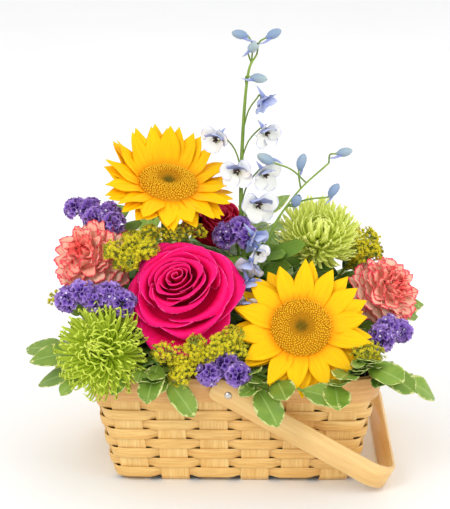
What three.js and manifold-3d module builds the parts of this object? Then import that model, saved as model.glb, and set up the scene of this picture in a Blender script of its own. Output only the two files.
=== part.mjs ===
// A flower basket arrangement: a woven splint basket with a swing handle, a liner and a block of
// wet foam, and the flowers, fillers and leaves whose stems stand in that foam.
// Millimetres, +Z up, +X to the viewer's right, -Y towards the viewer. The origin is the middle of
// the basket's base, on the surface that it stands on.
import * as THREE from "three";
import { mergeVertices } from "three/addons/utils/BufferGeometryUtils.js";
import Module from "manifold-3d";

const wasm = await Module();
wasm.setup();

// The basket's wall, measured at the middle of its thickness.
const WALL_TOP = 91;
const BASE_HALF = { x: 94.1, y: 75.1, corner: 12 };
const TOP_HALF = { x: 112.7, y: 88.7, corner: 20 };
const STAKE = { width: 22, thick: 1, low: 4, top: 89, bendInset: 3.2 };
const FRONT_STAKES = { count: 6, basePitch: 31, topPitch: 35 };
const SIDE_STAKES = { count: 5, basePitch: 26.5, topPitch: 31 };
const LAYERS = { under: 0.5, over: 1.8, step: 3.5 };
const ROWS = { count: 8, first: 4.2, pitch: 8.35, height: 8 };
const WEAVER = { thick: 1, offset: 1.35, lap: 1 };
const RIM = { low: 71, near: 1.4, outer: 3.6, inner: 3.4, steps: 3 };
const LINER = { floor: 2.9, thick: 1, top: 74, inset: 4.5 };
const FOAM = { x: 84, y: 63, low: 4.2, top: 97, chamfer: 7, depth: 38 };

// The swing handle: a bent strap riveted through the rim at the front and at the back.
const PIVOT = { x: -5, z: 79 };
const STRAP = { width: 19, thick: 3, arm: 143.5, tail: 14, inner: 92.5, splay: 9, bend: 22 };
const REST_TILT = 29;
const LIFT = 22;
const RIVET = { shank: 1.2, head: 2.9, crown: 1.4, collar: 3.4, burr: 2.6 };

// Clearances and blade thickness.
const GAP = 0.3;
const CLEAR = 0.4;
const BLADE = 0.8;

const COLOURS = {
  splint: [0xe3bd7c, 0.7],
  rim: [0xe0b584, 0.65],
  strap: [0xecd09c, 0.5],
  rivet: [0xcfcfcf, 0.3, 1],
  liner: [0x2f3a2c, 0.4],
  foam: [0x3e7a46, 0.95],
  sunPetal: [0xffc60c, 0.6],
  sunDisc: [0xb8860f, 0.85],
  rosePink: [0xe0125f, 0.6],
  roseRed: [0xa00030, 0.6],
  carnation: [0xf58a78, 0.65],
  mum: [0xb4cb3a, 0.6],
  statice: [0x6a4cb0, 0.8],
  solidago: [0xd9c522, 0.8],
  delphinium: [0x9fb6cf, 0.6],
  stem: [0x6f9a3c, 0.6],
  leaf: [0x5c8a38, 0.5],
};

const vec = (x, y, z) => new THREE.Vector3(x, y, z);
const UP = vec(0, 0, 1);
const rad = THREE.MathUtils.degToRad;
const lerp = THREE.MathUtils.lerp;
const count = (n, make) => Array.from({ length: n }, (_, i) => make(i));

// The same seeded draws on every run.
function seeded(seed) {
  let state = seed >>> 0;
  return () => {
    state = (state * 1664525 + 1013904223) >>> 0;
    return state / 4294967296;
  };
}

// Solids

function closed(vertProperties, triangles) {
  const build = (tris) =>
    new wasm.Manifold(new wasm.Mesh({ numProp: 3, vertProperties, triVerts: new Uint32Array(tris) }));
  const made = build(triangles);
  if (made.volume() > 0) return made;
  return build(triangles.map((_, i) => triangles[i % 3 === 0 ? i : i % 3 === 1 ? i + 1 : i - 1]));
}

// Points and faces as one closed solid; faces that fold to a line at a tip are dropped.
function solid(points, faces) {
  const raw = new THREE.BufferGeometry();
  raw.setAttribute("position", new THREE.Float32BufferAttribute(points.flatMap((p) => p.toArray()), 3));
  raw.setIndex(faces.flat());
  const merged = mergeVertices(raw, 1e-3);
  const index = merged.index.array;
  const kept = [];
  for (let i = 0; i < index.length; i += 3) {
    const [a, b, c] = [index[i], index[i + 1], index[i + 2]];
    if (a !== b && b !== c && c !== a) kept.push(a, b, c);
  }
  return closed(merged.getAttribute("position").array, kept);
}

// Sections of equal count joined in order: a ring if it closes on itself, or a bar with two ends.
function loft(sections, ring = false) {
  const n = sections[0].length;
  const last = sections.length - 1;
  const faces = [];
  for (let i = 0; i < (ring ? last + 1 : last); i++) {
    const here = i * n;
    const next = ((i + 1) % (last + 1)) * n;
    for (let j = 0; j < n; j++) {
      const k = (j + 1) % n;
      faces.push([here + j, here + k, next + k], [here + j, next + k, next + j]);
    }
  }
  for (let j = 1; !ring && j < n - 1; j++) {
    faces.push([0, j + 1, j], [last * n, last * n + j, last * n + j + 1]);
  }
  return solid(sections.flat(), faces);
}

// Triangles between two rows of numbered points, which may differ in count.
function zip(a, b) {
  const made = [];
  let [i, j] = [0, 0];
  while (i < a.length - 1 || j < b.length - 1) {
    const aDone = i === a.length - 1;
    const bDone = j === b.length - 1;
    const onward = !bDone && (aDone || (j + 1) / (b.length - 1) <= (i + 1) / (a.length - 1));
    made.push(onward ? [a[i], b[j], b[j + 1]] : [a[i], b[j], a[i + 1]]);
    if (onward) j++;
    else i++;
  }
  return made;
}

// The skin of a blade, from its numbered rows above and below: both faces, the edges and the tip.
function bladeSkin(over, under) {
  const made = [];
  for (let i = 0; i < over.length - 1; i++) {
    const [a, b, c, d] = [over[i], over[i + 1], under[i], under[i + 1]];
    made.push(...zip(a, b), ...zip(c, d).map(([p, q, r]) => [p, r, q]));
    made.push([c[0], d[0], b[0]], [c[0], b[0], a[0]]);
    made.push([a.at(-1), b.at(-1), d.at(-1)], [a.at(-1), d.at(-1), c.at(-1)]);
  }
  const [a, c] = [over.at(-1), under.at(-1)];
  for (let j = 0; j < a.length - 1; j++) made.push([c[j], c[j + 1], a[j + 1]], [c[j], a[j + 1], a[j]]);
  return made;
}

// The two faces of a blade, half its thickness to either side of a grid of points.
function bladeFaces(grid) {
  const rows = grid.length;
  const n = grid[0].length;
  const normals = grid.map((row, i) =>
    row.map((_, j) => {
      const along = grid[Math.min(i + 1, rows - 1)][j].clone().sub(grid[Math.max(i - 1, 0)][j]);
      const across = row[Math.min(j + 1, n - 1)].clone().sub(row[Math.max(j - 1, 0)]);
      return along.cross(across).normalize();
    }),
  );
  for (const [end, next] of [[0, 1], [rows - 1, rows - 2]]) {
    const pointed = grid[end][0].distanceTo(grid[end].at(-1)) < 1e-6;
    if (pointed) normals[end].fill(normals[next][Math.floor(n / 2)]);
  }
  const face = (sign) =>
    grid.map((row, i) => row.map((p, j) => p.clone().addScaledVector(normals[i][j], (sign * BLADE) / 2)));
  return { over: face(1), under: face(-1) };
}

// A thin closed blade from a grid of points.
function sheet(grid) {
  const { over, under } = bladeFaces(grid);
  const points = [...over, ...under].flat();
  const n = grid[0].length;
  const number = (from) => grid.map((_, i) => count(n, (j) => from + i * n + j));
  const [upper, lower] = [number(0), number(grid.length * n)];
  const faces = bladeSkin(upper, lower);
  const [u, l] = [upper[0], lower[0]];
  for (let j = 0; j < n - 1; j++) faces.push([l[j + 1], l[j], u[j]], [l[j + 1], u[j], u[j + 1]]);
  return solid(points, faces);
}

// A bar with few sides along points, each with its own radius.
function rod(points, radii, sides = 6) {
  const last = points.length - 1;
  let across = null;
  return loft(
    points.map((p, i) => {
      const along = points[Math.min(i + 1, last)].clone().sub(points[Math.max(i - 1, 0)]).normalize();
      across ??= Math.abs(along.z) < 0.9 ? UP.clone() : vec(0, 1, 0);
      across = across.clone().addScaledVector(along, -across.dot(along)).normalize();
      const third = along.clone().cross(across);
      const r = Array.isArray(radii) ? radii[i] : radii;
      return count(sides, (j) => {
        const a = (2 * Math.PI * j) / sides;
        return p.clone().addScaledVector(across, r * Math.cos(a)).addScaledVector(third, r * Math.sin(a));
      });
    }),
  );
}

// A small joint where twigs meet.
function ball(centre, radius) {
  const geometry = new THREE.OctahedronGeometry(radius);
  geometry.translate(...centre.toArray());
  geometry.deleteAttribute("normal");
  geometry.deleteAttribute("uv");
  const merged = mergeVertices(geometry, 1e-3);
  return closed(merged.getAttribute("position").array, Array.from(merged.index.array));
}

// Solids fused into one body; what isn't joined to the largest, or is sealed inside it, is dropped.
function fuse(solids) {
  const bodies = wasm.Manifold.union(solids).decompose();
  return bodies.reduce((a, b) => (b.volume() > a.volume() ? b : a));
}

const bow = (a, b, c, steps) => new THREE.QuadraticBezierCurve3(a, b, c).getPoints(steps);

// The finished pieces, which later petals, florets and leaves keep clear of.
const finished = [];

function near(a, b, gap) {
  const boxA = a.boundingBox();
  const boxB = b.boundingBox();
  return [0, 1, 2].every((k) => boxA.min[k] < boxB.max[k] + gap && boxB.min[k] < boxA.max[k] + gap);
}

function isClear(piece, gap = CLEAR, except = []) {
  return finished.every(
    (f) => except.includes(f.name) || !near(piece, f.body, gap) || piece.minGap(f.body, 2 * gap) >= gap,
  );
}

// A small repeat is tried as drawn, then bent a step further each time, and left out if none is clear
// of the finished pieces and of those placed before it in its own bloom or spray.
function bentClear(make, tries = 5, placed = [], bodyOf = (made) => made) {
  for (let k = 0; k < tries; k++) {
    const made = make(k);
    const body = bodyOf(made);
    const apart = placed.every((s) => !near(body, s, 0) || body.intersect(s).isEmpty());
    if (apart && isClear(body)) {
      placed.push(body);
      return [made];
    }
  }
  return [];
}

// The scene graph

const arrangement = new THREE.Group();

function group(x = 0, y = 0, z = 0) {
  const made = new THREE.Group();
  made.position.set(x, y, z);
  arrangement.add(made);
  return made;
}

// A solid becomes a named mesh in its group's own frame.
function place(parent, name, body, colour) {
  parent.updateWorldMatrix(true, false);
  const mesh = body.getMesh();
  const indexed = new THREE.BufferGeometry();
  indexed.setAttribute("position", new THREE.BufferAttribute(new Float32Array(mesh.vertProperties), 3));
  indexed.setIndex(new THREE.BufferAttribute(new Uint32Array(mesh.triVerts), 1));
  indexed.applyMatrix4(parent.matrixWorld.clone().invert());
  const geometry = indexed.toNonIndexed();
  geometry.computeVertexNormals();
  const [color, roughness, metalness = 0] = COLOURS[colour];
  const node = new THREE.Mesh(geometry, new THREE.MeshStandardMaterial({ color, roughness, metalness }));
  node.name = name;
  parent.add(node);
  finished.push({ name, body });
}

// The basket's wall is ruled: each point of its plan at the base runs straight to one at the top.

// How far out the plan's rounded rectangle lies, at a distance along one of its sides.
function planOut(half, along, long, deep) {
  const past = Math.max(Math.abs(along) - (long - half.corner), 0);
  return deep - half.corner + Math.sqrt(half.corner ** 2 - past ** 2);
}

const SIDES = {
  front: (along, out) => vec(along, -out, 0),
  right: (along, out) => vec(out, along, 0),
  back: (along, out) => vec(-along, out, 0),
  left: (along, out) => vec(-out, -along, 0),
};

const ruled = (base, top, z) => base.clone().lerp(top, z / WALL_TOP).setZ(z);

// One upright: the feet and heads of its two edges, and the way its face looks.
function upright(side, index) {
  const broad = side === "front" || side === "back";
  const { count: many, basePitch, topPitch } = broad ? FRONT_STAKES : SIDE_STAKES;
  const edge = (half, pitch, hand) => {
    const along = (index - (many - 1) / 2) * pitch + (hand * STAKE.width) / 2;
    return SIDES[side](along, planOut(half, along, broad ? half.x : half.y, broad ? half.y : half.x));
  };
  const base = [-1, 1].map((hand) => edge(BASE_HALF, basePitch, hand));
  const top = [-1, 1].map((hand) => edge(TOP_HALF, topPitch, hand));
  const along = top[1].clone().sub(top[0]).setZ(0).normalize();
  return { base, top, along, out: vec(along.y, -along.x, 0) };
}

const uprights = {};
for (const side of Object.keys(SIDES)) {
  const many = side === "front" || side === "back" ? FRONT_STAKES.count : SIDE_STAKES.count;
  uprights[side] = count(many, (i) => upright(side, i));
}

// A stake's section from its two edges and the way its face looks.
function strip([left, right], out, thick = STAKE.thick) {
  const at = (p, sign) => p.clone().addScaledVector(out, (sign * thick) / 2);
  return [at(left, 1), at(right, 1), at(right, -1), at(left, -1)];
}

// One splint: down a wall, across the base over and under the splints that cross it, and up again.
function stake(start, end, crossings, isOver) {
  const down = vec(0, 0, -1);
  const wall = (u, z) => strip(u.edges.map(([base, top]) => ruled(base, top, z)), u.out);
  const level = (over) => (over ? LAYERS.over : LAYERS.under);
  const floorEdges = (u, inset, z) => u.edges.map(([b]) => b.clone().addScaledVector(u.out, -inset).setZ(z));
  const across = end.edges[0][0].clone().sub(start.edges[0][0]).setZ(0).normalize();
  const middle = (u) => u.edges[0][0].dot(across);
  const floor = (s, z) =>
    strip(
      start.edges.map(([b]) => b.clone().addScaledVector(across, s - b.dot(across)).setZ(z)),
      down,
    );
  const corner = (u, over) => {
    const out = u.out.clone().add(down).normalize();
    return [wall(u, STAKE.low), strip(floorEdges(u, STAKE.bendInset, level(over)), out)];
  };
  const sections = [wall(start, STAKE.top), ...corner(start, isOver(0))];
  crossings.forEach((s, j) => {
    const over = isOver(j);
    const half = STAKE.width / 2;
    if (j > 0 && over) sections.push(floor(s - half - LAYERS.step, level(false)), floor(s - half, level(true)));
    const following = j < crossings.length - 1;
    if (!following || !over) return;
    sections.push(floor(s + half, level(true)), floor(s + half + LAYERS.step, level(false)));
  });
  const turned = corner(end, isOver(crossings.length - 1)).reverse();
  sections.push(...turned, wall(end, STAKE.top));
  if (middle(start) > middle(end)) throw new Error("a stake runs backwards");
  return loft(sections);
}

// Both ends of a splint, with their edges in the same left and right order.
const startOf = (u) => ({ edges: [0, 1].map((k) => [u.base[k], u.top[k]]), out: u.out });
const endOf = (u) => ({ edges: [1, 0].map((k) => [u.base[k], u.top[k]]), out: u.out });

const pitched = ({ count: many, basePitch }) => count(many, (i) => (i - (many - 1) / 2) * basePitch);

function rivetBar(radius, from, to) {
  return rod([vec(PIVOT.x, from, PIVOT.z), vec(PIVOT.x, to, PIVOT.z)], radius, 10);
}

const basket = group();
const rivetHoles = [-1, 1].map((side) => rivetBar(RIVET.shank + GAP, side * 70, side * 110));
const drilled = (body) => rivetHoles.reduce((rest, hole) => rest.subtract(hole), body);

for (let i = 0; i < FRONT_STAKES.count; i++) {
  const far = uprights.back[FRONT_STAKES.count - 1 - i];
  const isOver = (j) => (i + j) % 2 === 0;
  const body = stake(startOf(uprights.front[i]), endOf(far), pitched(SIDE_STAKES), isOver);
  place(basket, `stake_front_back_${i + 1}`, drilled(body), "splint");
}
for (let j = 0; j < SIDE_STAKES.count; j++) {
  const far = uprights.right[j];
  const near = uprights.left[SIDE_STAKES.count - 1 - j];
  const body = stake(endOf(near), startOf(far), pitched(FRONT_STAKES), (i) => (i + j) % 2 === 1);
  place(basket, `stake_side_side_${j + 1}`, body, "splint");
}

// One woven row: it passes outside and inside the uprights by turns, and round each corner.
function weaverRow(row) {
  const low = ROWS.first + row * ROWS.pitch;
  const stations = [];
  let turn = row + 1;
  Object.entries(uprights).forEach(([, list], s) => {
    for (const u of list) {
      const offset = turn++ % 2 ? WEAVER.offset : -WEAVER.offset;
      for (const k of [0, 1]) {
        const lap = (k ? 1 : -1) * WEAVER.lap;
        stations.push({ base: u.base[k].clone().addScaledVector(u.along, lap),
          top: u.top[k].clone().addScaledVector(u.along, lap), out: u.out, offset });
      }
    }
    const a = rad(-45 + 90 * s);
    const out = vec(Math.cos(a), Math.sin(a), 0);
    const middle = (half) =>
      vec(Math.sign(out.x) * (half.x - half.corner), Math.sign(out.y) * (half.y - half.corner), 0)
        .addScaledVector(out, half.corner);
    stations.push({ base: middle(BASE_HALF), top: middle(TOP_HALF), out, offset: 0 });
  });
  const section = ({ base, top, out, offset }) => {
    const at = (z, side) => ruled(base, top, z).addScaledVector(out, offset + (side * WEAVER.thick) / 2);
    return [at(low, 1), at(low + ROWS.height, 1), at(low + ROWS.height, -1), at(low, -1)];
  };
  return loft(stations.map(section), true);
}

for (let row = 0; row < ROWS.count; row++) place(basket, `weaver_${row + 1}`, weaverRow(row), "splint");

// The wall's plan at a height, moved in or out, as one closed ring of points.
function planRing(z, offset) {
  const ring = [];
  for (let q = 0; q < 4; q++) {
    for (let k = 0; k <= RIM.steps; k++) {
      const a = rad(-90 + 90 * q + (90 * k) / RIM.steps);
      const out = vec(Math.cos(a), Math.sin(a), 0);
      const [sx, sy] = [q < 2 ? 1 : -1, q === 0 || q === 3 ? -1 : 1];
      const at = (half) =>
        vec(sx * (half.x - half.corner), sy * (half.y - half.corner), 0)
          .addScaledVector(out, half.corner + offset);
      ring.push(ruled(at(BASE_HALF), at(TOP_HALF), z));
    }
  }
  return ring;
}

function band(low, high, inner, outer) {
  const rings = [planRing(low, outer), planRing(high, outer), planRing(high, inner), planRing(low, inner)];
  return loft(rings[0].map((_, i) => rings.map((r) => r[i])), true);
}

place(basket, "rim_outer", drilled(band(RIM.low, WALL_TOP, RIM.near, RIM.outer)), "rim");
place(basket, "rim_inner", drilled(band(RIM.low, WALL_TOP, -RIM.inner, -RIM.near)), "rim");

function liner() {
  const { floor, top, inset, thick } = LINER;
  return loft([planRing(floor, -inset), planRing(top, -inset), planRing(top, -inset - thick),
    planRing(floor + thick, -inset - thick)]);
}
place(basket, "liner", liner(), "liner");

// The foam block, drilled at the end for every stem that stands in it.
function foamBlock() {
  const { x, y, low, top, chamfer } = FOAM;
  const level = (z, cut) =>
    [[-1, -1], [1, -1], [1, 1], [-1, 1]].map(([sx, sy]) => vec(sx * (x - cut), sy * (y - cut), z));
  return loft([level(low, 0), level(top - chamfer, 0), level(top, chamfer)]);
}
const foamHoles = [];
finished.push({ name: "foam_block", body: foamBlock() });

// The handle, drawn flat along +X from its pivot and then tilted down to where it rests.
function strapPath() {
  const { arm, bend, tail, inner, thick, splay } = STRAP;
  const y = inner + thick / 2;
  const far = y + splay;
  const turn = count(7, (i) => {
    const a = rad(-90 + 15 * i);
    return vec(arm - bend + bend * Math.cos(a), -far + bend + bend * Math.sin(a), 0);
  });
  const half = [vec(-tail, -y, 0), vec(4 - tail, -y, 0), vec(12, -y, 0), ...turn];
  return [...half, ...half.slice().reverse().map((p) => vec(p.x, -p.y, 0))];
}

function strap(extra = 0) {
  const path = strapPath();
  const last = path.length - 1;
  return loft(
    path.map((p, i) => {
      const along = path[Math.min(i + 1, last)].clone().sub(path[Math.max(i - 1, 0)]).normalize();
      const out = vec(along.y, -along.x, 0);
      const clipped = i === 0 || i === last ? 0.6 : 1;
      const half = (STRAP.width * clipped) / 2 + extra;
      const at = (side, up) => p.clone().addScaledVector(out, side * (STRAP.thick / 2 + extra)).setZ(up * half);
      return [at(1, -1), at(1, 1), at(-1, 1), at(-1, -1)];
    }),
  );
}

// A solid of the handle's flat drawing, lifted by an angle from its rest.
function swung(body, lift = 0) {
  const turn = new THREE.Matrix4().makeRotationY(rad(REST_TILT - lift));
  turn.setPosition(PIVOT.x, 0, PIVOT.z);
  return body.transform(turn.toArray());
}

const handle = group(PIVOT.x, 0, PIVOT.z);
handle.rotation.y = rad(REST_TILT);
place(handle, "handle", drilled(swung(strap())), "strap");

// A rivet: crowned head outside the strap, shank, collar against the rim and a burr inside it.
function rivet(side) {
  const strapOut = STRAP.inner + STRAP.thick + GAP;
  const wallAt = lerp(BASE_HALF.y, TOP_HALF.y, PIVOT.z / WALL_TOP);
  const rimOut = wallAt + RIM.outer + 2 * GAP + 0.3;
  const rimIn = wallAt - RIM.inner - 2 * GAP - 0.2;
  const profile = [[0, strapOut + RIVET.crown], [0.6 * RIVET.head, strapOut + 0.8 * RIVET.crown],
    [RIVET.head, strapOut], [RIVET.shank, strapOut], [RIVET.shank, STRAP.inner - GAP],
    [RIVET.collar, STRAP.inner - GAP], [RIVET.collar, rimOut], [RIVET.shank, rimOut],
    [RIVET.shank, rimIn], [RIVET.burr, rimIn], [RIVET.burr, rimIn - 0.8], [0, rimIn - 0.8]];
  const geometry = new THREE.LatheGeometry(profile.map(([r, h]) => new THREE.Vector2(r, h)), 8);
  if (side < 0) geometry.rotateX(Math.PI);
  geometry.translate(PIVOT.x, 0, PIVOT.z);
  geometry.deleteAttribute("normal");
  geometry.deleteAttribute("uv");
  const merged = mergeVertices(geometry, 1e-3);
  const index = Array.from(merged.index.array);
  const kept = [];
  for (let i = 0; i < index.length; i += 3) {
    const [a, b, c] = index.slice(i, i + 3);
    if (a !== b && b !== c && c !== a) kept.push(a, b, c);
  }
  return closed(merged.getAttribute("position").array, kept);
}
place(basket, "rivet_front", rivet(-1), "rivet");
place(basket, "rivet_back", rivet(1), "rivet");

// The room that the handle swings through, which nothing else may enter.
const swingRoom = fuse(count(7, (i) => swung(strap(1.2), (LIFT + 2) * (i / 6))));
finished.push({ name: "swing_room", body: swingRoom });

// Flowers

// A frame on a bloom: its heart, the way it faces, and two directions across its face.
function bloomFrame(heart, face) {
  const out = vec(...face).normalize();
  const right = UP.clone().cross(out).normalize();
  return { heart: vec(...heart), out, right, top: out.clone().cross(right) };
}

const ray = (f, a) => f.right.clone().multiplyScalar(Math.cos(a)).addScaledVector(f.top, Math.sin(a));
const onFace = (f, a, r, h) => f.heart.clone().addScaledVector(ray(f, a), r).addScaledVector(f.out, h);

// The middle surface of a blade that grows along one way and curls towards its face. Each row of its
// shape gives how far along it lies and its share of the width.
function blade(root, along, face, { length, width, shape, curl = 0, wave = 0, across = 2 }) {
  const side = face.clone().cross(along).normalize();
  const bent = Math.abs(curl) < 1e-3 ? 1e-3 : curl;
  return shape.map(([s, share], i) => {
    const a = bent * s;
    const p = root.clone()
      .addScaledVector(along, (length * Math.sin(a)) / bent)
      .addScaledVector(face, (length * (1 - Math.cos(a))) / bent);
    const up = face.clone().multiplyScalar(Math.cos(a)).addScaledVector(along, -Math.sin(a));
    return count(across, (j) => {
      const v = (2 * j) / (across - 1) - 1;
      const rise = wave * share * (i % 2 ? 1 : -1) * v;
      return p.clone().addScaledVector(side, (v * width * share) / 2).addScaledVector(up, rise);
    });
  });
}

// A petal that leans out from the bloom's face by an angle.
function rayPetal(f, a, [r, h], tilt, size) {
  const out = ray(f, a);
  const along = out.clone().multiplyScalar(Math.cos(tilt)).addScaledVector(f.out, Math.sin(tilt));
  const up = f.out.clone().multiplyScalar(Math.cos(tilt)).addScaledVector(out, -Math.sin(tilt));
  return blade(onFace(f, a, r, h), along, up, size);
}

// A cupped petal round the bloom's axis, from rows of radius, height and share of its spread.
function cupPetal(f, angle, spread, rows, { across = 4, lean = 0, ruffle = 0 } = {}) {
  return rows.map(([r, h, share], i) =>
    count(across, (j) => {
      const v = (2 * j) / (across - 1) - 1;
      const last = i === rows.length - 1 ? 1 : 0;
      const aside = i > 0 ? lean * r * v : 0;
      const wave = last * ruffle * (j % 2 ? 1 : -1);
      return onFace(f, angle + (v * spread * share) / 2, r + aside + wave, h - 0.5 * aside + wave);
    }),
  );
}

// A bloom in one closed piece: a core with flat sides, from rings of radius and height listed from the
// top, and petals that grow out of its sides. A petal takes the band under one ring, on one side.
function petalled(f, sides, rings, petals) {
  const points = rings.flatMap(([r, h]) => count(sides, (j) => onFace(f, (2 * Math.PI * j) / sides, r, h)));
  const corners = (ring, side) => [ring * sides + side, ring * sides + ((side + 1) % sides)];
  const faces = [];
  const taken = new Set();
  for (const { ring, side, grid } of petals) {
    const { over, under } = bladeFaces(grid);
    const numbered = (rows) => rows.slice(1).map((row) => row.map((p) => points.push(p) - 1));
    const upper = [corners(ring, side), ...numbered(over)];
    const lower = [corners(ring + 1, side), ...numbered(under)];
    faces.push(...bladeSkin(upper, lower));
    taken.add(ring * sides + side);
  }
  for (let ring = 0; ring < rings.length - 1; ring++) {
    for (let side = 0; side < sides; side++) {
      if (taken.has(ring * sides + side)) continue;
      const [a, b] = corners(ring, side);
      const [d, c] = corners(ring + 1, side);
      faces.push([d, c, b], [d, b, a]);
    }
  }
  const low = (rings.length - 1) * sides;
  for (let j = 1; j < sides - 1; j++) faces.push([0, j, j + 1], [low, low + j + 1, low + j]);
  return solid(points, faces);
}

// The core's side that faces nearest to an angle.
const sideAt = (a, sides) => (((Math.round((a * sides) / (2 * Math.PI) - 0.5) % sides) + sides) % sides);

// A stem from its hole in the foam to the back of a bloom. It enters where it is clear of what stands
// there already, as near as that allows to the place drawn for it.
function stemTo(end, back, entry, radius, sides = 4, beyond = []) {
  for (let k = 0; k < 960; k++) {
    const ring = Math.floor(k / 12);
    const pull = [0.45, 0.2, 0.7, 0][k % 4];
    const lean = [0.35, 0.1, 0.6][Math.floor(k / 4) % 3];
    const x = entry[0] + 2.2 * Math.sqrt(ring) * Math.cos(2.4 * ring);
    const y = entry[1] + 2.2 * Math.sqrt(ring) * Math.sin(2.4 * ring);
    if (Math.abs(x) > FOAM.x - FOAM.chamfer - 4 || Math.abs(y) > FOAM.y - FOAM.chamfer - 4) continue;
    const mouth = vec(x, y, FOAM.top);
    const straight = UP.clone().multiplyScalar(1 - lean)
      .addScaledVector(end.clone().sub(mouth).normalize(), lean).normalize();
    const foot = mouth.clone().addScaledVector(straight, -FOAM.depth / straight.z);
    const collar = mouth.clone().addScaledVector(straight, 4);
    const control = end.clone().addScaledVector(back, pull * end.distanceTo(collar));
    const free = [...bow(collar, control, end, 3), ...beyond];
    const thin = (points) => points.map((_, i) => radius * (i > points.length - 1 - beyond.length ? 0.7 : 1));
    if (!isClear(rod(free, thin(free), sides))) continue;
    const body = rod([foot, ...free], thin([foot, ...free]), sides);
    if (!isClear(body, 1.5 * CLEAR, ["foam_block"])) continue;
    const hole = [foot.clone().addScaledVector(straight, -GAP), mouth.clone().addScaledVector(straight, 3)];
    foamHoles.push(rod(hole, radius + GAP + 0.1, sides));
    return body;
  }
  throw new Error(`no clear way for the stem at ${entry}`);
}

const stemBehind = (f, depth, entry, radius) =>
  stemTo(onFace(f, 0, 0, -depth), f.out.clone().negate(), entry, radius, 5);

// Sunflowers
const SUN = { petals: 11, disc: 23, plate: 24.5, width: 16.5 };
const SUN_PETAL = [[0, 0.48], [0.45, 1], [0.8, 0.62], [1, 0]];
const BRACT = [[0, 1], [0.5, 0.8], [1, 0]];

function sunflower(name, { heart, face, reach, rise, entry, seed }) {
  const draw = seeded(seed);
  const f = bloomFrame(heart, face);
  const parent = group(...heart);
  // The seed disc: rings of small raised florets round a sunken eye.
  const rings = [[22, 0.3, 0], [SUN.disc, 2.2, 0], [18, 5.6, 0.5], [11.5, 6.9, 0.5], [4.5, 4.9, 0.5]];
  const disc = loft(rings.map(([r, h, floret], i) =>
    count(14, (j) => onFace(f, (2 * Math.PI * j) / 14, r, h + ((i + j) % 2 ? floret : -floret))),
  ));
  place(parent, `${name}_disc`, disc, "sunDisc");
  // Behind the disc, a cup of green bracts on the stem.
  const stem = stemBehind(f, 13, entry, 3.4);
  const cup = [[14, -4.4], [14, -4.4 - BLADE], [12, -9], [3.6, -15]];
  const bracts = count(7, (side) => {
    const a = (2 * Math.PI * (side + 0.5)) / 7;
    return bentClear((k) => rayPetal(f, a, [13, -4.8], -0.1 - 0.12 * k,
      { length: 21 - 2 * k, width: 11, shape: BRACT, curl: -0.2 }), 5, [], sheet)
      .map((grid) => ({ ring: 0, side, grid }));
  }).flat();
  place(parent, `${name}_green`, fuse([petalled(f, 7, cup, bracts), stem]), "stem");
  // Two rounds of pointed ray petals, by turns from the upper and the lower edge of a plate.
  const plate = [[SUN.plate, -0.1], [SUN.plate, -0.1 - BLADE], [SUN.plate, -3.9 + BLADE], [SUN.plate, -3.9]];
  const placed = [];
  const petals = count(2 * SUN.petals, (side) => {
    const a = (Math.PI * (side + 0.5)) / SUN.petals;
    const lower = side % 2;
    const lift = rise(a) + (lower ? -0.08 : 0.1) + 0.06 * (draw() - 0.5);
    const length = (reach - SUN.plate) * (0.9 + 0.16 * draw());
    const curl = (lower ? -0.25 : 0.25) * draw();
    const root = [SUN.plate, lower ? -3.5 : -0.5];
    const bends = [0, 0.14, -0.14, 0.3, -0.3, 0.5];
    return bentClear((k) => rayPetal(f, a, root, lift + bends[k],
      { length: length * (k > 3 ? 0.8 : 1), width: SUN.width, shape: SUN_PETAL, curl }), 6, placed, sheet)
      .map((grid) => ({ ring: 2 * lower, side, grid }));
  }).flat();
  place(parent, `${name}_petals`, petalled(f, 2 * SUN.petals, plate, petals), "sunPetal");
}

sunflower("sunflower_front", { heart: [51, -77, 128], face: [0.06, -0.78, 0.62], reach: 54,
  rise: (a) => 0.12 + 0.16 * Math.sin(a), entry: [40, -34], seed: 3 });
sunflower("sunflower_back", { heart: [-54, -11, 226], face: [0.14, -0.36, 0.92], reach: 55,
  rise: (a) => 0.3 + 0.6 * Math.sin(a), entry: [-34, -4], seed: 8 });

// Petals in rounds on one core. Each round gives its height on the core, how many petals it has, how
// far each spreads round the axis, and the rows beyond its root.
function rounds(f, core, sides, list, draw, { top, below, across, lean, ruffle }) {
  const rings = [...top, ...list.flatMap(({ root }) => [[core, root], [core, root - BLADE]]), ...below];
  const petals = list.flatMap(({ root, many, spread, start, rows }, round) => {
    const placed = [];
    return count(many, (i) => {
      const a = start + (2 * Math.PI * i) / many;
      const shift = draw() - 0.5;
      const turn = a + 0.08 * (draw() - 0.5);
      const bent = (k) => rows.map(([r, h, share]) =>
        [r * (1 - 0.07 * k), h + (shift - 0.7 * k) * Math.min(1, r / 20), share]);
      const make = (k) =>
        cupPetal(f, turn, rad(spread), [[core, root - BLADE / 2, 0.3], ...bent(k)], { across, lean, ruffle });
      return bentClear(make, 5, placed, sheet)
        .map((grid) => ({ ring: top.length + 2 * round, side: sideAt(a, sides), grid }));
    }).flat();
  });
  return petalled(f, sides, rings, petals);
}

// Roses: rounds of cupped petals, each leaning over the next, tight at the heart and open outside.
const ROSE_ROUNDS = [
  { root: -8, many: 2, spread: 172, start: 0.4, rows: [[8.6, 4, 1], [7.4, 14, 0.9]] },
  { root: -10, many: 3, spread: 122, start: 1.2, rows: [[15, 1, 1], [14.4, 13, 0.85]] },
  { root: -12, many: 3, spread: 126, start: 0.2, rows: [[23, -3, 1], [25, 10.5, 0.8]] },
  { root: -14.5, many: 4, spread: 98, start: 0.9, rows: [[30, -8, 1], [37, 4.5, 0.72]] },
  { root: -17, many: 5, spread: 78, start: 0.3, rows: [[34, -13.5, 1], [46, -5, 0.6]] },
];

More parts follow.
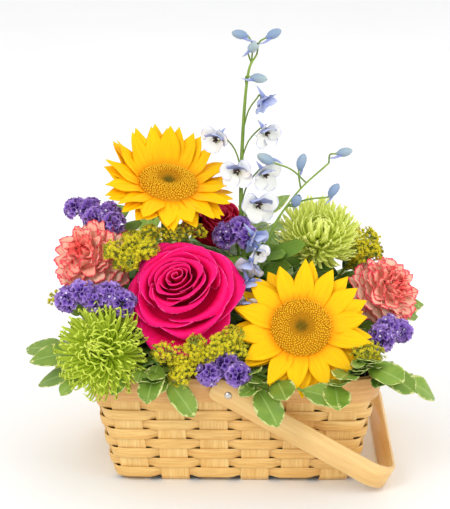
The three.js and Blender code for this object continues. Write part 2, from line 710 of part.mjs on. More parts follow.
function rose(name, { heart, face, size, open, entry, colour, seed }) {
  const draw = seeded(seed);
  const f = bloomFrame(heart, face);
  const parent = group(...heart);
  const depth = 20.5;
  const stem = stemBehind(f, depth + 5, entry, 2.6);
  const hip = [[5, -depth - 0.5], [5, -depth - 0.5 - BLADE], [6, -depth - 5], [3, -depth - 9]];
  const sepals = count(5, (side) => {
    const a = (2 * Math.PI * (side + 0.5)) / 5;
    return bentClear((k) => rayPetal(f, a, [4, -depth - 0.9], -0.25 - 0.15 * k,
      { length: 24 - 2 * k, width: 6, shape: BRACT, curl: -0.5 }), 5, [], sheet)
      .map((grid) => ({ ring: 0, side, grid }));
  }).flat();
  place(parent, `${name}_green`, fuse([petalled(f, 5, hip, sepals), stem]), "stem");
  const list = ROSE_ROUNDS.slice(0, open ? 5 : 3).map((round) =>
    ({ ...round, rows: round.rows.map(([r, h, share]) => [r * size, h, share]) }));
  const petals = rounds(f, 5, 10, list, draw,
    { top: [[1.5, 8], [3.4, 2]], below: [[3.4, -depth]], across: 4, lean: 0.085 });
  place(parent, `${name}_petals`, petals, colour);
}

rose("rose_pink", { heart: [-41, -74, 156], face: [-0.1, -0.82, 0.56], size: 1, open: true,
  entry: [-30, -36], colour: "rosePink", seed: 5 });
rose("rose_red", { heart: [-17, 18, 184], face: [0.25, -0.35, 0.9], size: 0.8, open: false,
  entry: [-4, 12], colour: "roseRed", seed: 9 });

// Carnations: a tube of a calyx, and rounds of ruffled petals with toothed edges.
const CARNATION_ROUNDS = [
  { root: 3, many: 3, spread: 112, start: 0.2, rows: [[12, 19, 1]] },
  { root: -1, many: 5, spread: 67, start: 0.9, rows: [[24, 13, 1]] },
  { root: -5, many: 5, spread: 67, start: 0.3, rows: [[32, 2.5, 1]] },
  { root: -9, many: 5, spread: 67, start: 0.9, rows: [[34, -9, 1]] },
];

function carnation(name, { heart, face, size, entry, seed }) {
  const draw = seeded(seed);
  const f = bloomFrame(heart, face);
  const parent = group(...heart);
  const stem = stemBehind(f, 33, entry, 2);
  const calyx = petalled(f, 6, [[7, -14.6], [6, -26], [2.6, -36]], []);
  place(parent, `${name}_green`, fuse([calyx, stem]), "stem");
  const list = CARNATION_ROUNDS.map((round) =>
    ({ ...round, rows: round.rows.map(([r, h, share]) => [r * size, h * size, share]) }));
  const petals = rounds(f, 5, 10, list, draw,
    { top: [[2.5, 12]], below: [[6.5, -14]], across: 6, lean: 0.02, ruffle: 1.5 });
  place(parent, `${name}_petals`, petals, "carnation");
}

carnation("carnation_left", { heart: [-112, -28, 168], face: [-0.5, -0.62, 0.6], size: 1.05,
  entry: [-62, -12], seed: 4 });
carnation("carnation_right", { heart: [120, -12, 138], face: [0.58, -0.6, 0.55], size: 0.9,
  entry: [66, -8], seed: 6 });

const middleOf = (corners) => corners.reduce((sum, p) => sum.add(p), vec(0, 0, 0)).divideScalar(corners.length);

// A small ball of flat faces with a horn grown from each of those that look forward. The horn gives
// its middle and end sections as three corners each; one that meets something else is left out.
function horned(centre, out, radius, detail, horn, limit) {
  const shell = new THREE.IcosahedronGeometry(radius, detail);
  shell.deleteAttribute("normal");
  shell.deleteAttribute("uv");
  const merged = mergeVertices(shell, 1e-3);
  const at = merged.getAttribute("position");
  const points = count(at.count, (i) => new THREE.Vector3().fromBufferAttribute(at, i).add(centre));
  const index = Array.from(merged.index.array);
  const skin = [];
  const placed = [];
  for (let i = 0; i < index.length; i += 3) {
    const root = index.slice(i, i + 3);
    const corners = root.map((n) => points[n]);
    const along = middleOf(corners).sub(centre).normalize();
    const free = (rows) => loft([corners.map((p) => p.clone().lerp(rows[0][0], 0.12)), ...rows]);
    const sections = along.dot(out) < limit ? [] : bentClear((k) => horn(corners, along, k), 5, placed, free);
    let ring = root;
    for (const section of sections.flat()) {
      const next = section.map((p) => points.push(p) - 1);
      for (const j of [0, 1, 2]) {
        const l = (j + 1) % 3;
        skin.push([ring[j], ring[l], next[l]], [ring[j], next[l], next[j]]);
      }
      ring = next;
    }
    skin.push(ring);
  }
  return solid(points, skin);
}

// Green chrysanthemums: narrow petals on every side of a small core, hooked at their ends.
function chrysanthemum(name, { heart, face, reach, hook, entry, seed }) {
  const draw = seeded(seed);
  const f = bloomFrame(heart, face);
  const parent = group(...heart);
  const core = 7.5;
  const stem = stemBehind(f, core - 2, entry, 2.2);
  const petal = (corners, along, k) => {
    const inward = f.out.clone().addScaledVector(along, -f.out.dot(along)).normalize();
    const length = (reach - core) * (0.86 + 0.2 * draw()) * (1 - 0.09 * k);
    const bend = (hook * (0.6 + 0.6 * draw()) + 0.3 * k) * length;
    const middle = middleOf(corners);
    const section = (s, sideways, width) => {
      const p = middle.clone().addScaledVector(along, s * length).addScaledVector(inward, sideways * bend);
      return corners.map((c) => c.clone().sub(middle).setLength(width).add(p));
    };
    const tip = section(1, 0.3, 1)[0].lerp(section(1, 0.3, 1)[1], 0.5);
    return [section(0.62, -0.05, 1.9), [tip, tip.clone(), tip.clone()]];
  };
  const head = horned(f.heart, f.out, core, 1, petal, -0.3);
  place(parent, name, fuse([head, stem]), "mum");
}

chrysanthemum("chrysanthemum_left", { heart: [-101, -87, 111], face: [-0.35, -0.8, 0.48], reach: 38,
  hook: 1, entry: [-62, -42], seed: 12 });
chrysanthemum("chrysanthemum_right", { heart: [66, 1, 180], face: [0.05, -0.5, 0.86], reach: 34,
  hook: 1.2, entry: [40, 8], seed: 14 });

// Delphinium: a stem with nodding spurred buds on thin stalks, and open white florets lower down.

// A bud on its stalk, in one tapering piece.
function buddedStalk(from, at, way) {
  const p = (s) => at.clone().addScaledVector(way, s * 15);
  return rod([from, p(-0.1), p(0.4), p(1)], [0.8, 1, 3.4, 0.7], 4);
}

// An open floret: one thin cup with five lobes, which narrows behind to its stalk.
function openFloret(from, at, face) {
  const f = bloomFrame(at.toArray(), face);
  const lobe = (j) => (j % 2 ? 13 : 6.5);
  const ring = (drop) => count(10, (j) => onFace(f, (2 * Math.PI * j) / 10, lobe(j), 0.25 * lobe(j) - drop));
  const throat = count(3, (j) => onFace(f, (2 * Math.PI * (j + 0.25)) / 3, 1.1, -2.4));
  const points = [...ring(0), ...ring(1), ...throat, onFace(f, 0, 0, 0), from];
  const faces = count(10, (j) => {
    const k = (j + 1) % 10;
    return [[j, k, 23], [j, 10 + j, 10 + k], [j, 10 + k, k]];
  }).flat();
  const back = zip([...count(10, (j) => 10 + j), 10], [20, 21, 22, 20]);
  return solid(points, [...faces, ...back, [21, 20, 24], [22, 21, 24], [20, 22, 24]]);
}

function delphinium(name, { spine, entry, buds, florets }) {
  const root = vec(...spine[0]);
  const parent = group(...spine[0]);
  const way = root.clone().sub(vec(...spine[1])).normalize();
  const curve = new THREE.CatmullRomCurve3(spine.map((p) => vec(...p)));
  const parts = [stemTo(root, way, entry, 2.2, 5, curve.getPoints(5).slice(1))];
  const below = (p) =>
    curve.getPoints(40).reduce((best, q) => {
      const cost = (v) => v.distanceTo(p) + Math.abs(p.z - v.z - 14) * 0.9;
      return cost(q) < cost(best) ? q : best;
    }, root);
  for (const [at, along] of buds) {
    const p = vec(...at);
    parts.push(...bentClear((k) => {
      const to = p.clone().add(vec(0, 0, 3 * k));
      return buddedStalk(below(to), to, vec(...along).normalize());
    }, 4));
  }
  for (const [at, face] of florets) {
    const p = vec(...at);
    parts.push(...bentClear((k) => {
      const to = p.clone().add(vec(0, 2 * k, 3 * k));
      return openFloret(below(to), to, face);
    }, 4));
  }
  place(parent, name, fuse(parts), "delphinium");
}

delphinium("delphinium_tall", {
  spine: [[8, -16, 150], [4, -10, 205], [5, 6, 262], [9, 12, 310], [16, 13, 326]], entry: [8, -10],
  buds: [[[8, 13, 340], [-1, 0, 0.3]], [[24, 15, 339], [1, 0, 0.55]], [[10, 11, 328], [0.9, 0, 0.5]],
    [[12, 10, 306], [0.9, -0.2, 0.2]], [[16, 8, 286], [1, -0.3, 0.1]]],
  florets: [[[22, 2, 263], [0.3, -0.9, 0.3]], [[-15, 0, 260], [-0.3, -0.9, 0.3]], [[1, -10, 236], [0, -0.9, 0.4]],
    [[26, -8, 224], [0.3, -0.9, 0.4]], [[20, -16, 203], [0.2, -0.9, 0.4]]] });
delphinium("delphinium_leaning", {
  spine: [[22, -26, 172], [32, -22, 198], [50, -18, 223], [73, -14, 244]], entry: [18, -14],
  buds: [[[29, -8, 243], [-1, 0, 0.5]], [[50, -9, 238], [0.3, 0, 1]], [[80, -6, 250], [1, 0, 0.2]],
    [[46, -16, 210], [0.3, -0.6, 0.8]], [[74, -12, 214], [0.6, 0, 0.8]]],
  florets: [[[13, -42, 190], [0, -0.9, 0.4]], [[10, -58, 150], [-0.2, -0.95, 0.2]]] });

// Fillers

// Statice: forked stems that end in tight combs of small papery funnels.
function statice(name, { heart, face, wide, heads, entry, seed }) {
  const draw = seeded(seed);
  const f = bloomFrame(heart, face);
  const parent = group(...heart);
  const fork = onFace(f, 0, 0, -16);
  const parts = [stemTo(fork, f.out.clone().negate(), entry, 1.3), ball(fork, 2.4)];
  const funnel = (corners, along, k) => {
    const middle = middleOf(corners);
    const reach = (8.6 + 1.6 * draw()) * (1 - 0.12 * k);
    const end = middle.clone().addScaledVector(along, reach);
    return [corners.map((c) => c.clone().sub(middle).setLength(4.2).add(end))];
  };
  for (let i = 0; i < heads; i++) {
    const along = heads === 1 ? 0 : (2 * i) / (heads - 1) - 1;
    const centre = f.heart.clone().addScaledVector(f.right, along * wide)
      .addScaledVector(f.top, i % 2 ? 3 : -2);
    const twig = bentClear((k) => rod([fork, centre.clone().addScaledVector(f.out, 1.5 * k)], 1, 3), 3);
    if (!twig.length) continue;
    const away = f.out.clone().addScaledVector(f.right, 0.5 * along).normalize();
    parts.push(...twig, horned(centre, away, 3.2, 0, funnel, 0.1));
  }
  place(parent, name, fuse(parts), "statice");
}

statice("statice_left_high", { heart: [-112, -2, 198], face: [-0.4, -0.4, 0.8], wide: 19, heads: 3,
  entry: [-60, 22], seed: 2 });
statice("statice_left_low", { heart: [-108, -70, 149], face: [-0.2, -0.8, 0.55], wide: 18, heads: 3,
  entry: [-68, -26], seed: 7 });
statice("statice_middle", { heart: [2, -16, 186], face: [0, -0.8, 0.6], wide: 0, heads: 1,
  entry: [0, -14], seed: 11 });
statice("statice_front", { heart: [-8, -96, 101], face: [-0.1, -0.9, 0.4], wide: 8, heads: 2,
  entry: [-8, -50], seed: 13 });
statice("statice_right", { heart: [122, -44, 114], face: [0.6, -0.7, 0.3], wide: 9, heads: 2,
  entry: [72, -34], seed: 17 });

// Solidago: arching plumes, knobbly with tiny flower heads.
function plume(from, to, lift) {
  const path = bow(from, from.clone().lerp(to, 0.55).addScaledVector(lift, 6), to, 5);
  const last = path.length - 1;
  const along = to.clone().sub(from).normalize();
  const across = lift.clone().addScaledVector(along, -lift.dot(along)).normalize();
  const third = along.clone().cross(across);
  return loft(path.map((p, i) => count(5, (j) => {
    const a = (2 * Math.PI * j) / 5;
    const knob = i === 0 || i === last ? 0.8 : i === 1 ? 1.6 : (i + j) % 2 ? 5 : 2;
    return p.clone().addScaledVector(across, knob * Math.cos(a)).addScaledVector(third, knob * Math.sin(a));
  })));
}

function solidago(name, { heart, face, size, plumes, entry, seed }) {
  const draw = seeded(seed);
  const f = bloomFrame(heart, face);
  const parent = group(...heart);
  const fork = onFace(f, 0, 0, -14);
  const parts = [stemTo(fork, f.out.clone().negate(), entry, 1.1), ball(fork, 3.2)];
  const placed = [];
  for (let b = 0; b < plumes; b++) {
    const a = (2 * Math.PI * (b + 0.4 * draw())) / plumes;
    const wide = Math.hypot(size[0] * Math.cos(a), size[1] * Math.sin(a));
    const start = onFace(f, a, 1.6, -13.6);
    const end = (k) => onFace(f, a + 0.12 * k, wide * (1 - 0.08 * k), 2 * k - 2);
    parts.push(...bentClear((k) => plume(start, end(k), f.out), 5, placed));
  }
  place(parent, name, fuse(parts), "solidago");
}

solidago("solidago_left", { heart: [-82, -60, 186], face: [-0.2, -0.7, 0.7], size: [20, 12], plumes: 4,
  entry: [-48, -22], seed: 21 });
solidago("solidago_front", { heart: [-30, -104, 112], face: [0, -0.9, 0.4], size: [32, 14], plumes: 5,
  entry: [-30, -52], seed: 22 });
solidago("solidago_right", { heart: [104, 14, 172], face: [0.5, -0.3, 0.8], size: [22, 15], plumes: 4,
  entry: [58, 20], seed: 24 });

// Pittosporum: forked woody sprigs with waved oval leaves.
const LEAF = [[0, 0], [0.32, 0.96], [0.7, 0.86], [1, 0]];

function sprig(name, { entry, over, tips, leaves, seed, length = 36 }) {
  const draw = seeded(seed);
  const fork = vec(...over);
  const parent = group(...over);
  const ends = tips.map((t) => vec(...t));
  const back = fork.clone().sub(middleOf(ends)).normalize().add(vec(0, 0, 0.3)).normalize();
  const raised = (end, k) => end.clone().add(vec(0, 0, 4 * k));
  const twig = (end) => rod([fork, end], [1.1, 0.8], 3);
  const free = ends.flatMap((end) => bentClear((k) => raised(end, k), 5, [], twig));
  const parts = [stemTo(fork, back, entry, 1.2, 4, free.slice(0, 1)), ...free.slice(1).map(twig)];
  const placed = [];
  for (const end of free) {
    const run = end.clone().sub(fork);
    const along = run.clone().normalize();
    const side = UP.clone().cross(along).normalize();
    for (let i = 0; i < leaves; i++) {
      const root = fork.clone().addScaledVector(run, (i + 0.8) / leaves);
      const spread = i === leaves - 1 ? 0.1 : 0.8 + 0.35 * draw();
      const hand = i % 2 ? 1 : -1;
      const curl = -0.2 - 0.5 * draw();
      const size = length * (0.8 + 0.3 * draw());
      const droop = 0.15 * draw();
      parts.push(...bentClear((k) => {
        const bend = [0, 0.25, -0.25, 0.5, -0.5, 0.8, 0, 0.5][k];
        const grow = along.clone().multiplyScalar(Math.cos(spread))
          .addScaledVector(side, hand * Math.sin(spread))
          .addScaledVector(UP, 0.25 + bend - droop).normalize();
        const up = UP.clone().addScaledVector(along, -0.3);
        up.addScaledVector(grow, -up.dot(grow)).normalize();
        const shorter = k > 4 ? 0.7 : 1;
        return blade(root, grow, up, { length: size * shorter, width: 16, shape: LEAF, curl, wave: 1.1 });
      }, 8, placed, sheet).map((grid) => sheet(grid)));
    }
  }
  place(parent, name, fuse(parts), "leaf");
}

const SPRIGS = [
  { entry: [-74, -40], over: [-104, -66, 102], tips: [[-122, -82, 88], [-134, -50, 98]], leaves: 4 },
  { entry: [-56, -54], over: [-61, -92, 106], tips: [[-83, -100, 94], [-50, -101, 91]], leaves: 4, length: 32 },
  { entry: [20, -50], over: [7, -94, 100], tips: [[3, -110, 85], [53, -107, 87]], leaves: 5, length: 30 },
  { entry: [70, -40], over: [98, -92, 105], tips: [[69, -108, 87], [128, -84, 88]], leaves: 5, length: 32 },
  { entry: [74, 14], over: [104, 20, 106], tips: [[126, -4, 112], [120, 52, 108]], leaves: 4 },
  { entry: [40, 54], over: [60, 76, 118], tips: [[98, 74, 122], [34, 96, 146]], leaves: 4, length: 46 },
  { entry: [-20, 56], over: [-16, 72, 128], tips: [[16, 84, 166], [-34, 104, 116]], leaves: 4, length: 46 },
  { entry: [-66, 44], over: [-86, 58, 120], tips: [[-112, 36, 126], [-78, 82, 156]], leaves: 4, length: 46 },
];
SPRIGS.forEach((s, i) => sprig(`pittosporum_${i + 1}`, { ...s, seed: 31 + i }));

// The foam last, with a plain hole for each stem.
const block = finished.findIndex((f) => f.name === "foam_block");
const foam = finished[block].body.subtract(wasm.Manifold.union(foamHoles));
finished.splice(block, 1);
place(basket, "foam", foam, "foam");

export default arrangement;
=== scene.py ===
# %% [markdown]
# # A flower basket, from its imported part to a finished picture
# The part comes as plain faceted solids. This lesson keeps their places and sizes and gives every
# one its real surface: woven splints, a bent strap, curled petals, papery florets and waved leaves.
# Everything is drawn in millimetres and turned to metres at the very end of each piece.

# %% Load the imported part
import math
import random

import bpy
from mathutils import Matrix, Vector
from mathutils.bvhtree import BVHTree


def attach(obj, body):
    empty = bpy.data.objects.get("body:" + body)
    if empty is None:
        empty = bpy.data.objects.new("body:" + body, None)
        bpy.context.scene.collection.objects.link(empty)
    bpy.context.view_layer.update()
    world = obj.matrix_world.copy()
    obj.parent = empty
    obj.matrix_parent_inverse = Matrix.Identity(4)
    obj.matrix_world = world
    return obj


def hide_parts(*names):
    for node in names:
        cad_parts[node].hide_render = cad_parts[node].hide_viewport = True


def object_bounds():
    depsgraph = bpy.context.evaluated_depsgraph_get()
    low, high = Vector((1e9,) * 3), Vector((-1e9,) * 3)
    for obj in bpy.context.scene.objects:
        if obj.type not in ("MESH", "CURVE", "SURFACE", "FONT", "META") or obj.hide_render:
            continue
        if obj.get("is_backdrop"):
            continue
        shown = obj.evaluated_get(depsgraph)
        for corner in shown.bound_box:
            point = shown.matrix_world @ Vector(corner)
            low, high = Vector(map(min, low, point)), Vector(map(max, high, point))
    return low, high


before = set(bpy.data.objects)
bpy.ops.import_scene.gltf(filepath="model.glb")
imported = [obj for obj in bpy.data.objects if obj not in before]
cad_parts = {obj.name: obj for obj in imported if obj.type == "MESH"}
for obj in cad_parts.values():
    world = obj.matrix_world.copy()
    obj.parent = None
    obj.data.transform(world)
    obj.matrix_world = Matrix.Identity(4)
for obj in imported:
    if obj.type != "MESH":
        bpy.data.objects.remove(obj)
CAD_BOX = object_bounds()
print("CAD nodes:", len(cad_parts))

# %% [markdown]
# ## The camera
# The photograph was taken from a little above the rim, from far enough away for the basket to show
# almost no perspective. A long lens, placed where the rim and the handle line up with the picture,
# gives the same view.

# %% Place the camera
scene = bpy.context.scene
camera = bpy.data.objects.new("camera", bpy.data.cameras.new("camera"))
scene.collection.objects.link(camera)
camera.location = (0.0154, -1.4, 0.55325)
camera.rotation_euler = (math.radians(74.5), 0, math.radians(1.0))
camera.data.lens = 127.3
camera.data.sensor_width = 36
scene.camera = camera
print("camera at", tuple(camera.location))

# %% [markdown]
# ## Small tools
# Five helpers carry the whole lesson. `linear` turns a hex colour to linear light, `add` adds a shader
# node with its settings and links, and `start_finish` starts a material. `Piece` gathers points and
# faces, and `finish_piece` makes an object of them. Each point of a piece also gets a mark of three
# numbers, which its material reads: on a petal or a leaf they are the share of the way to the tip,
# the share of the way across and a shade of its own, and on wood they are millimetres along the
# grain, millimetres across it and a seed.

# %% Colour, nodes and materials
MM = 0.001


def linear(hex_colour):
    """An sRGB hex colour as linear red, green, blue and alpha."""
    values = [int(hex_colour[i : i + 2], 16) / 255 for i in (0, 2, 4)]
    return [v / 12.92 if v <= 0.04045 else ((v + 0.055) / 1.055) ** 2.4 for v in values] + [1.0]


def add(tree, kind, inputs=None, **settings):
    """Add a shader node, with its settings, and fill or link its inputs."""
    node = tree.nodes.new("ShaderNode" + kind)
    for name, value in settings.items():
        setattr(node, name, value)
    for socket, value in (inputs or {}).items():
        if isinstance(value, bpy.types.NodeSocket):
            tree.links.new(value, node.inputs[socket])
        else:
            node.inputs[socket].default_value = value
    return node


def start_finish(name, **values):
    """A new material, its node tree and its shader, with plain values on the shader's sockets."""
    material = bpy.data.materials.new(name)
    material.use_nodes = True
    shader = material.node_tree.nodes["Principled BSDF"]
    for socket, value in values.items():
        shader.inputs[socket.replace("_", " ")].default_value = value
    return material, material.node_tree, shader


print("orange in linear light:", [round(v, 3) for v in linear("E08A1E")])

# %% Points, faces and marks
def heading(path, i):
    """The way a path runs at one of its points."""
    return (path[min(i + 1, len(path) - 1)] - path[max(i - 1, 0)]).normalized()


class Piece:
    """The points, faces and marks of one piece, gathered in millimetres."""

    def __init__(self):
        self.points, self.marks, self.faces, self.finishes = [], [], [], []

    def grid(self, rows, finish=0, shade=0.0, marks=None, ring=False):
        """A sheet from rows of points. A ring joins the end of each row to its start."""
        first = len(self.points)
        wide = len(rows[0])
        for i, row in enumerate(rows):
            for j, point in enumerate(row):
                self.points.append(point)
                if marks:
                    self.marks.append(marks[i][j])
                else:
                    self.marks.append((i / (len(rows) - 1), 2 * j / max(wide - 1, 1) - 1, shade))
        for i in range(len(rows) - 1):
            for j in range(wide if ring else wide - 1):
                a, k = first + i * wide, (j + 1) % wide
                self.faces.append((a + j, a + k, a + wide + k, a + wide + j))
                self.finishes.append(finish)
        return first

    def cap(self, ring, finish=0):
        """One flat face over a ring of numbered points."""
        self.faces.append(tuple(ring))
        self.finishes.append(finish)

    def fan(self, centre, ring_points, finish=0, mark=(0, 0, 0), edge=(1, 0, 0)):
        """Triangles from one point to a ring of points."""
        first = len(self.points)
        self.points += [centre, *ring_points]
        self.marks += [mark] + [edge] * len(ring_points)
        count = len(ring_points)
        for j in range(count):
            self.faces.append((first, first + 1 + j, first + 1 + (j + 1) % count))
            self.finishes.append(finish)

    def tube(self, path, radii, sides=8, finish=0, shade=0.0, closed=True):
        """A round bar along a path, with a radius for each of its points."""
        rows = []
        across = None
        for i, point in enumerate(path):
            along = heading(path, i)
            if across is None:
                across = Vector((0, 0, 1)) if abs(along.z) < 0.9 else Vector((0, 1, 0))
            across = (across - along * across.dot(along)).normalized()
            third = along.cross(across)
            radius = radii[i] if isinstance(radii, (list, tuple)) else radii
            turn = [2 * math.pi * j / sides for j in range(sides)]
            rows.append([point + (across * math.cos(a) + third * math.sin(a)) * radius for a in turn])
        first = self.grid(rows, finish, shade, ring=True)
        if closed:
            last = first + (len(path) - 1) * sides
            self.cap(range(first + sides - 1, first - 1, -1), finish)
            self.cap(range(last, last + sides), finish)


sample = Piece()
sample.grid([[Vector((x, y, 0)) for x in (0, 1)] for y in (0, 1)])
print("marks on a sheet of one face:", sample.marks)

# %% Make an object of a piece
# A search tree of every piece made so far, which tells what lies near a point or cuts a sheet.
made_trees = {}


def finish_piece(name, piece, finishes, nodes, body="basket", thick=0.0, smooth=True):
    """Make an object of a gathered piece. It rides on its body and stands for its CAD nodes."""
    mesh = bpy.data.meshes.new(name)
    mesh.from_pydata([p * MM for p in piece.points], [], piece.faces)
    marks = mesh.attributes.new("mark", "FLOAT_VECTOR", "POINT")
    marks.data.foreach_set("vector", [v for mark in piece.marks for v in mark])
    for finish in finishes:
        mesh.materials.append(finish)
    mesh.polygons.foreach_set("material_index", piece.finishes)
    mesh.polygons.foreach_set("use_smooth", [smooth] * len(mesh.polygons))
    mesh.update()
    made = bpy.data.objects.new(name, mesh)
    scene.collection.objects.link(made)
    if thick:
        solid = made.modifiers.new("thickness", "SOLIDIFY")
        solid.thickness = thick * MM
        solid.offset = 0
    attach(made, body)
    if nodes:
        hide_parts(*nodes)
    made_trees[name] = BVHTree.FromPolygons(piece.points, piece.faces)
    print(f"{name}: {len(mesh.polygons)} faces")


print("pieces made so far:", len(made_trees))

# %% [markdown]
# Curves are given as a few values, and `curve_at` runs smoothly through them.
# `Bloom` is a frame on a flower's heart: the way it faces, and the two ways across its face. A rose
# that opens wider to one side needs rings that are ellipses, so the frame can be stretched. Leaves are
# added last, and `hides` keeps them from standing in front of a flower.

# %% Curves
UP = Vector((0, 0, 1))


def curve_at(table, s):
    """The value at s on a smooth line through (s, value) pairs."""
    i = 0
    while i < len(table) - 2 and s > table[i + 1][0]:
        i += 1
    (s0, v0), (s1, v1) = table[i], table[i + 1]
    before = table[i - 1] if i > 0 else table[i]
    after = table[i + 2] if i + 2 < len(table) else table[i + 1]
    run = s1 - s0
    m0 = (v1 - before[1]) / (s1 - before[0]) * run
    m1 = (after[1] - v0) / (after[0] - s0) * run
    t = min(max((s - s0) / run, 0), 1)
    t2, t3 = t * t, t * t * t
    return (2 * t3 - 3 * t2 + 1) * v0 + (t3 - 2 * t2 + t) * m0 + (3 * t2 - 2 * t3) * v1 + (t3 - t2) * m1


def path_through(points, steps):
    """Points spaced evenly by number on a smooth path through the given ones."""
    points = [Vector(p) for p in points]
    tables = [[(i, p[k]) for i, p in enumerate(points)] for k in range(3)]
    last = len(points) - 1
    return [Vector([curve_at(t, last * i / steps) for t in tables]) for i in range(steps + 1)]


def smooth_step(t):
    """A soft rise from 0 to 1."""
    t = min(max(t, 0), 1)
    return t * t * (3 - 2 * t)


def sides_of(way):
    """Two ways at right angles to a way and to each other."""
    side = way.orthogonal().normalized()
    return side, way.cross(side)


print("a third of the way up a curve:", round(curve_at([(0, 0), (0.5, 1), (1, 0)], 1 / 3), 3))

# %% Bloom frames
# The faces of the flowers made so far, each with the radius that leaves keep out of.
open_faces = []


class Bloom:
    """A frame on a flower: its heart, the way it faces, and right and top across its face."""

    def __init__(self, heart, face):
        self.heart = Vector(heart)
        self.out = Vector(face).normalized()
        self.right = UP.cross(self.out).normalized()
        self.top = self.out.cross(self.right)

    def stretch(self, angle, longer, shorter):
        """Make the rings of this frame ellipses, longer one way across the face."""
        one, two = self.ray(angle), self.ray(angle + math.pi / 2)
        for side in (self.right, self.top):
            side[:] = one * (one.dot(side) * longer) + two * (two.dot(side) * shorter)

    def ray(self, angle):
        """The way across the face at an angle."""
        return self.right * math.cos(angle) + self.top * math.sin(angle)

    def at(self, angle, radius, height):
        """The point at an angle, a radius and a height over the heart."""
        return self.heart + self.ray(angle) * radius + self.out * height

    def turned(self, profile, sides):
        """Rings of points round the flower's axis, one for each radius and height of a profile."""
        turn = [2 * math.pi * j / sides for j in range(sides)]
        return [[self.at(a, radius, height) for a in turn] for radius, height in profile]

    def keep_open(self, radius):
        """Ask the leaves that come later to stay out of the way of this face."""
        open_faces.append((self, radius))


def room(point, reach):
    """Whether nothing made so far comes nearer to a point than a reach."""
    return all(tree.find_nearest(point, reach)[0] is None for tree in made_trees.values())


def hides(point):
    """Whether a point stands in front of a flower's face, up to 60 mm before it."""
    for bloom, radius in open_faces:
        step = point - bloom.heart
        height = step.dot(bloom.out)
        if -2 < height < 60 and (step - bloom.out * height).length < radius:
            return True
    return False


print("faces to keep open so far:", len(open_faces))

# %% [markdown]
# ## Wood finishes
# The basket is woven from thin **ash splints**, shaved along the grain and given a clear honey
# coloured varnish. A splint shows long darker streaks where it was cut through the growth rings,
# 1 to 3 mm apart, and a soft sheen. The rim is a wider planed band with a pinker tone, and the handle
# is bent from a paler strip of maple that was sanded smooth. One builder makes all of them: it
# stretches a noise along the grain, so that 40 mm of it along equal about 2 mm across. The solids
# that stay have no marks, so their grain is read from their own place, in metres.

# %% Make the wood finishes
def wood(name, pale, honey, dark, roughness, streaks, grain_from="mark"):
    """Varnished wood with streaks that run along the first number of each mark."""
    material, tree, shader = start_finish(name, IOR=1.5, Coat_Weight=0.25, Coat_Roughness=0.3)
    if grain_from == "mark":
        place = add(tree, "Attribute", attribute_name="mark").outputs["Vector"]
        scale = (0.03, 0.55, 1.0)
    else:
        place = add(tree, "TexCoord").outputs["Object"]
        scale = (550, 30, 30) if grain_from == "x" else (30, 550, 30)
    spread = add(tree, "VectorMath", {0: place, 1: scale}, operation="MULTIPLY").outputs[0]
    fine = add(tree, "TexNoise", {"Vector": spread, "Scale": 1.6, "Detail": 5, "Roughness": 0.62})
    broad = add(tree, "TexNoise", {"Vector": spread, "Scale": 0.35, "Detail": 2, "Distortion": 0.6})
    streak = add(tree, "MapRange", {"Value": fine.outputs[0], "From Min": 0.42, "From Max": 0.68})
    patch = add(tree, "MapRange", {"Value": broad.outputs[0], "From Min": 0.35, "From Max": 0.65})
    base = add(tree, "Mix", {0: patch.outputs[0], 6: linear(pale), 7: linear(honey)}, data_type="RGBA")
    depth = add(tree, "Math", {0: streak.outputs[0], 1: streaks}, operation="MULTIPLY").outputs[0]
    colour = add(tree, "Mix", {0: depth, 6: base.outputs[2], 7: linear(dark)}, data_type="RGBA")
    tree.links.new(colour.outputs[2], shader.inputs["Base Color"])
    worn = roughness + 0.18
    rough = add(tree, "MapRange", {"Value": fine.outputs[0], "To Min": roughness, "To Max": worn})
    tree.links.new(rough.outputs[0], shader.inputs["Roughness"])
    bump = add(tree, "Bump", {"Height": fine.outputs[0], "Strength": 0.35, "Distance": 0.0003})
    tree.links.new(bump.outputs[0], shader.inputs["Normal"])
    return material


varnished_ash_weaver = wood("varnished_ash_splint_weaver", "F2C97C", "E9B765", "C4883A", 0.42, 0.55)
varnished_ash_front = wood("varnished_ash_splint_front_back", "F4D086", "ECBE70", "CB9244", 0.45, 0.5, "x")
varnished_ash_side = wood("varnished_ash_splint_side_side", "F4D086", "ECBE70", "CB9244", 0.45, 0.5, "y")
planed_ash_rim = wood("planed_ash_rim_band", "E9B674", "DEA35C", "B87A38", 0.45, 0.4)
bent_maple_strap = wood("sanded_maple_strap", "F0CA86", "E8BC74", "D09A50", 0.36, 0.35)
print("wood finishes:", 5)

# %% [markdown]
# ## The woven wall
# Eight splints run round the basket and pass outside and inside its uprights by turns. A real splint
# bends in a soft wave, is a little crowned, and looks a little wider where it comes to the front. So
# each row is a closed band along that wave, with rounded edges. Its plan is a rounded rectangle which
# grows from the base to the rim, and each point of the base runs straight to one at the top.

# %% The plan of the wall
WALL_TOP = 91.0
# Half the width, half the depth and the corner's radius, and how far apart the uprights stand on a
# long side and on a short one.
BASE = {"x": 94.1, "y": 75.1, "corner": 12.0, "pitch": (31.0, 26.5)}
TOP = {"x": 112.7, "y": 88.7, "corner": 20.0, "pitch": (35.0, 31.0)}
UPRIGHTS = (6, 5)
# A row stays flat over an upright's half width and 1 mm beyond it.
REACH = 11.0 + 1.0


def side_point(side, half, along):
    """A point of the plan's rounded rectangle, at a distance along one of its four sides."""
    long, deep = (half["x"], half["y"]) if side % 2 == 0 else (half["y"], half["x"])
    past = max(abs(along) - (long - half["corner"]), 0)
    out = deep - half["corner"] + math.sqrt(max(half["corner"] ** 2 - past**2, 0))
    turn = Matrix.Rotation(side * math.pi / 2, 2)
    return turn @ Vector((along, -out))


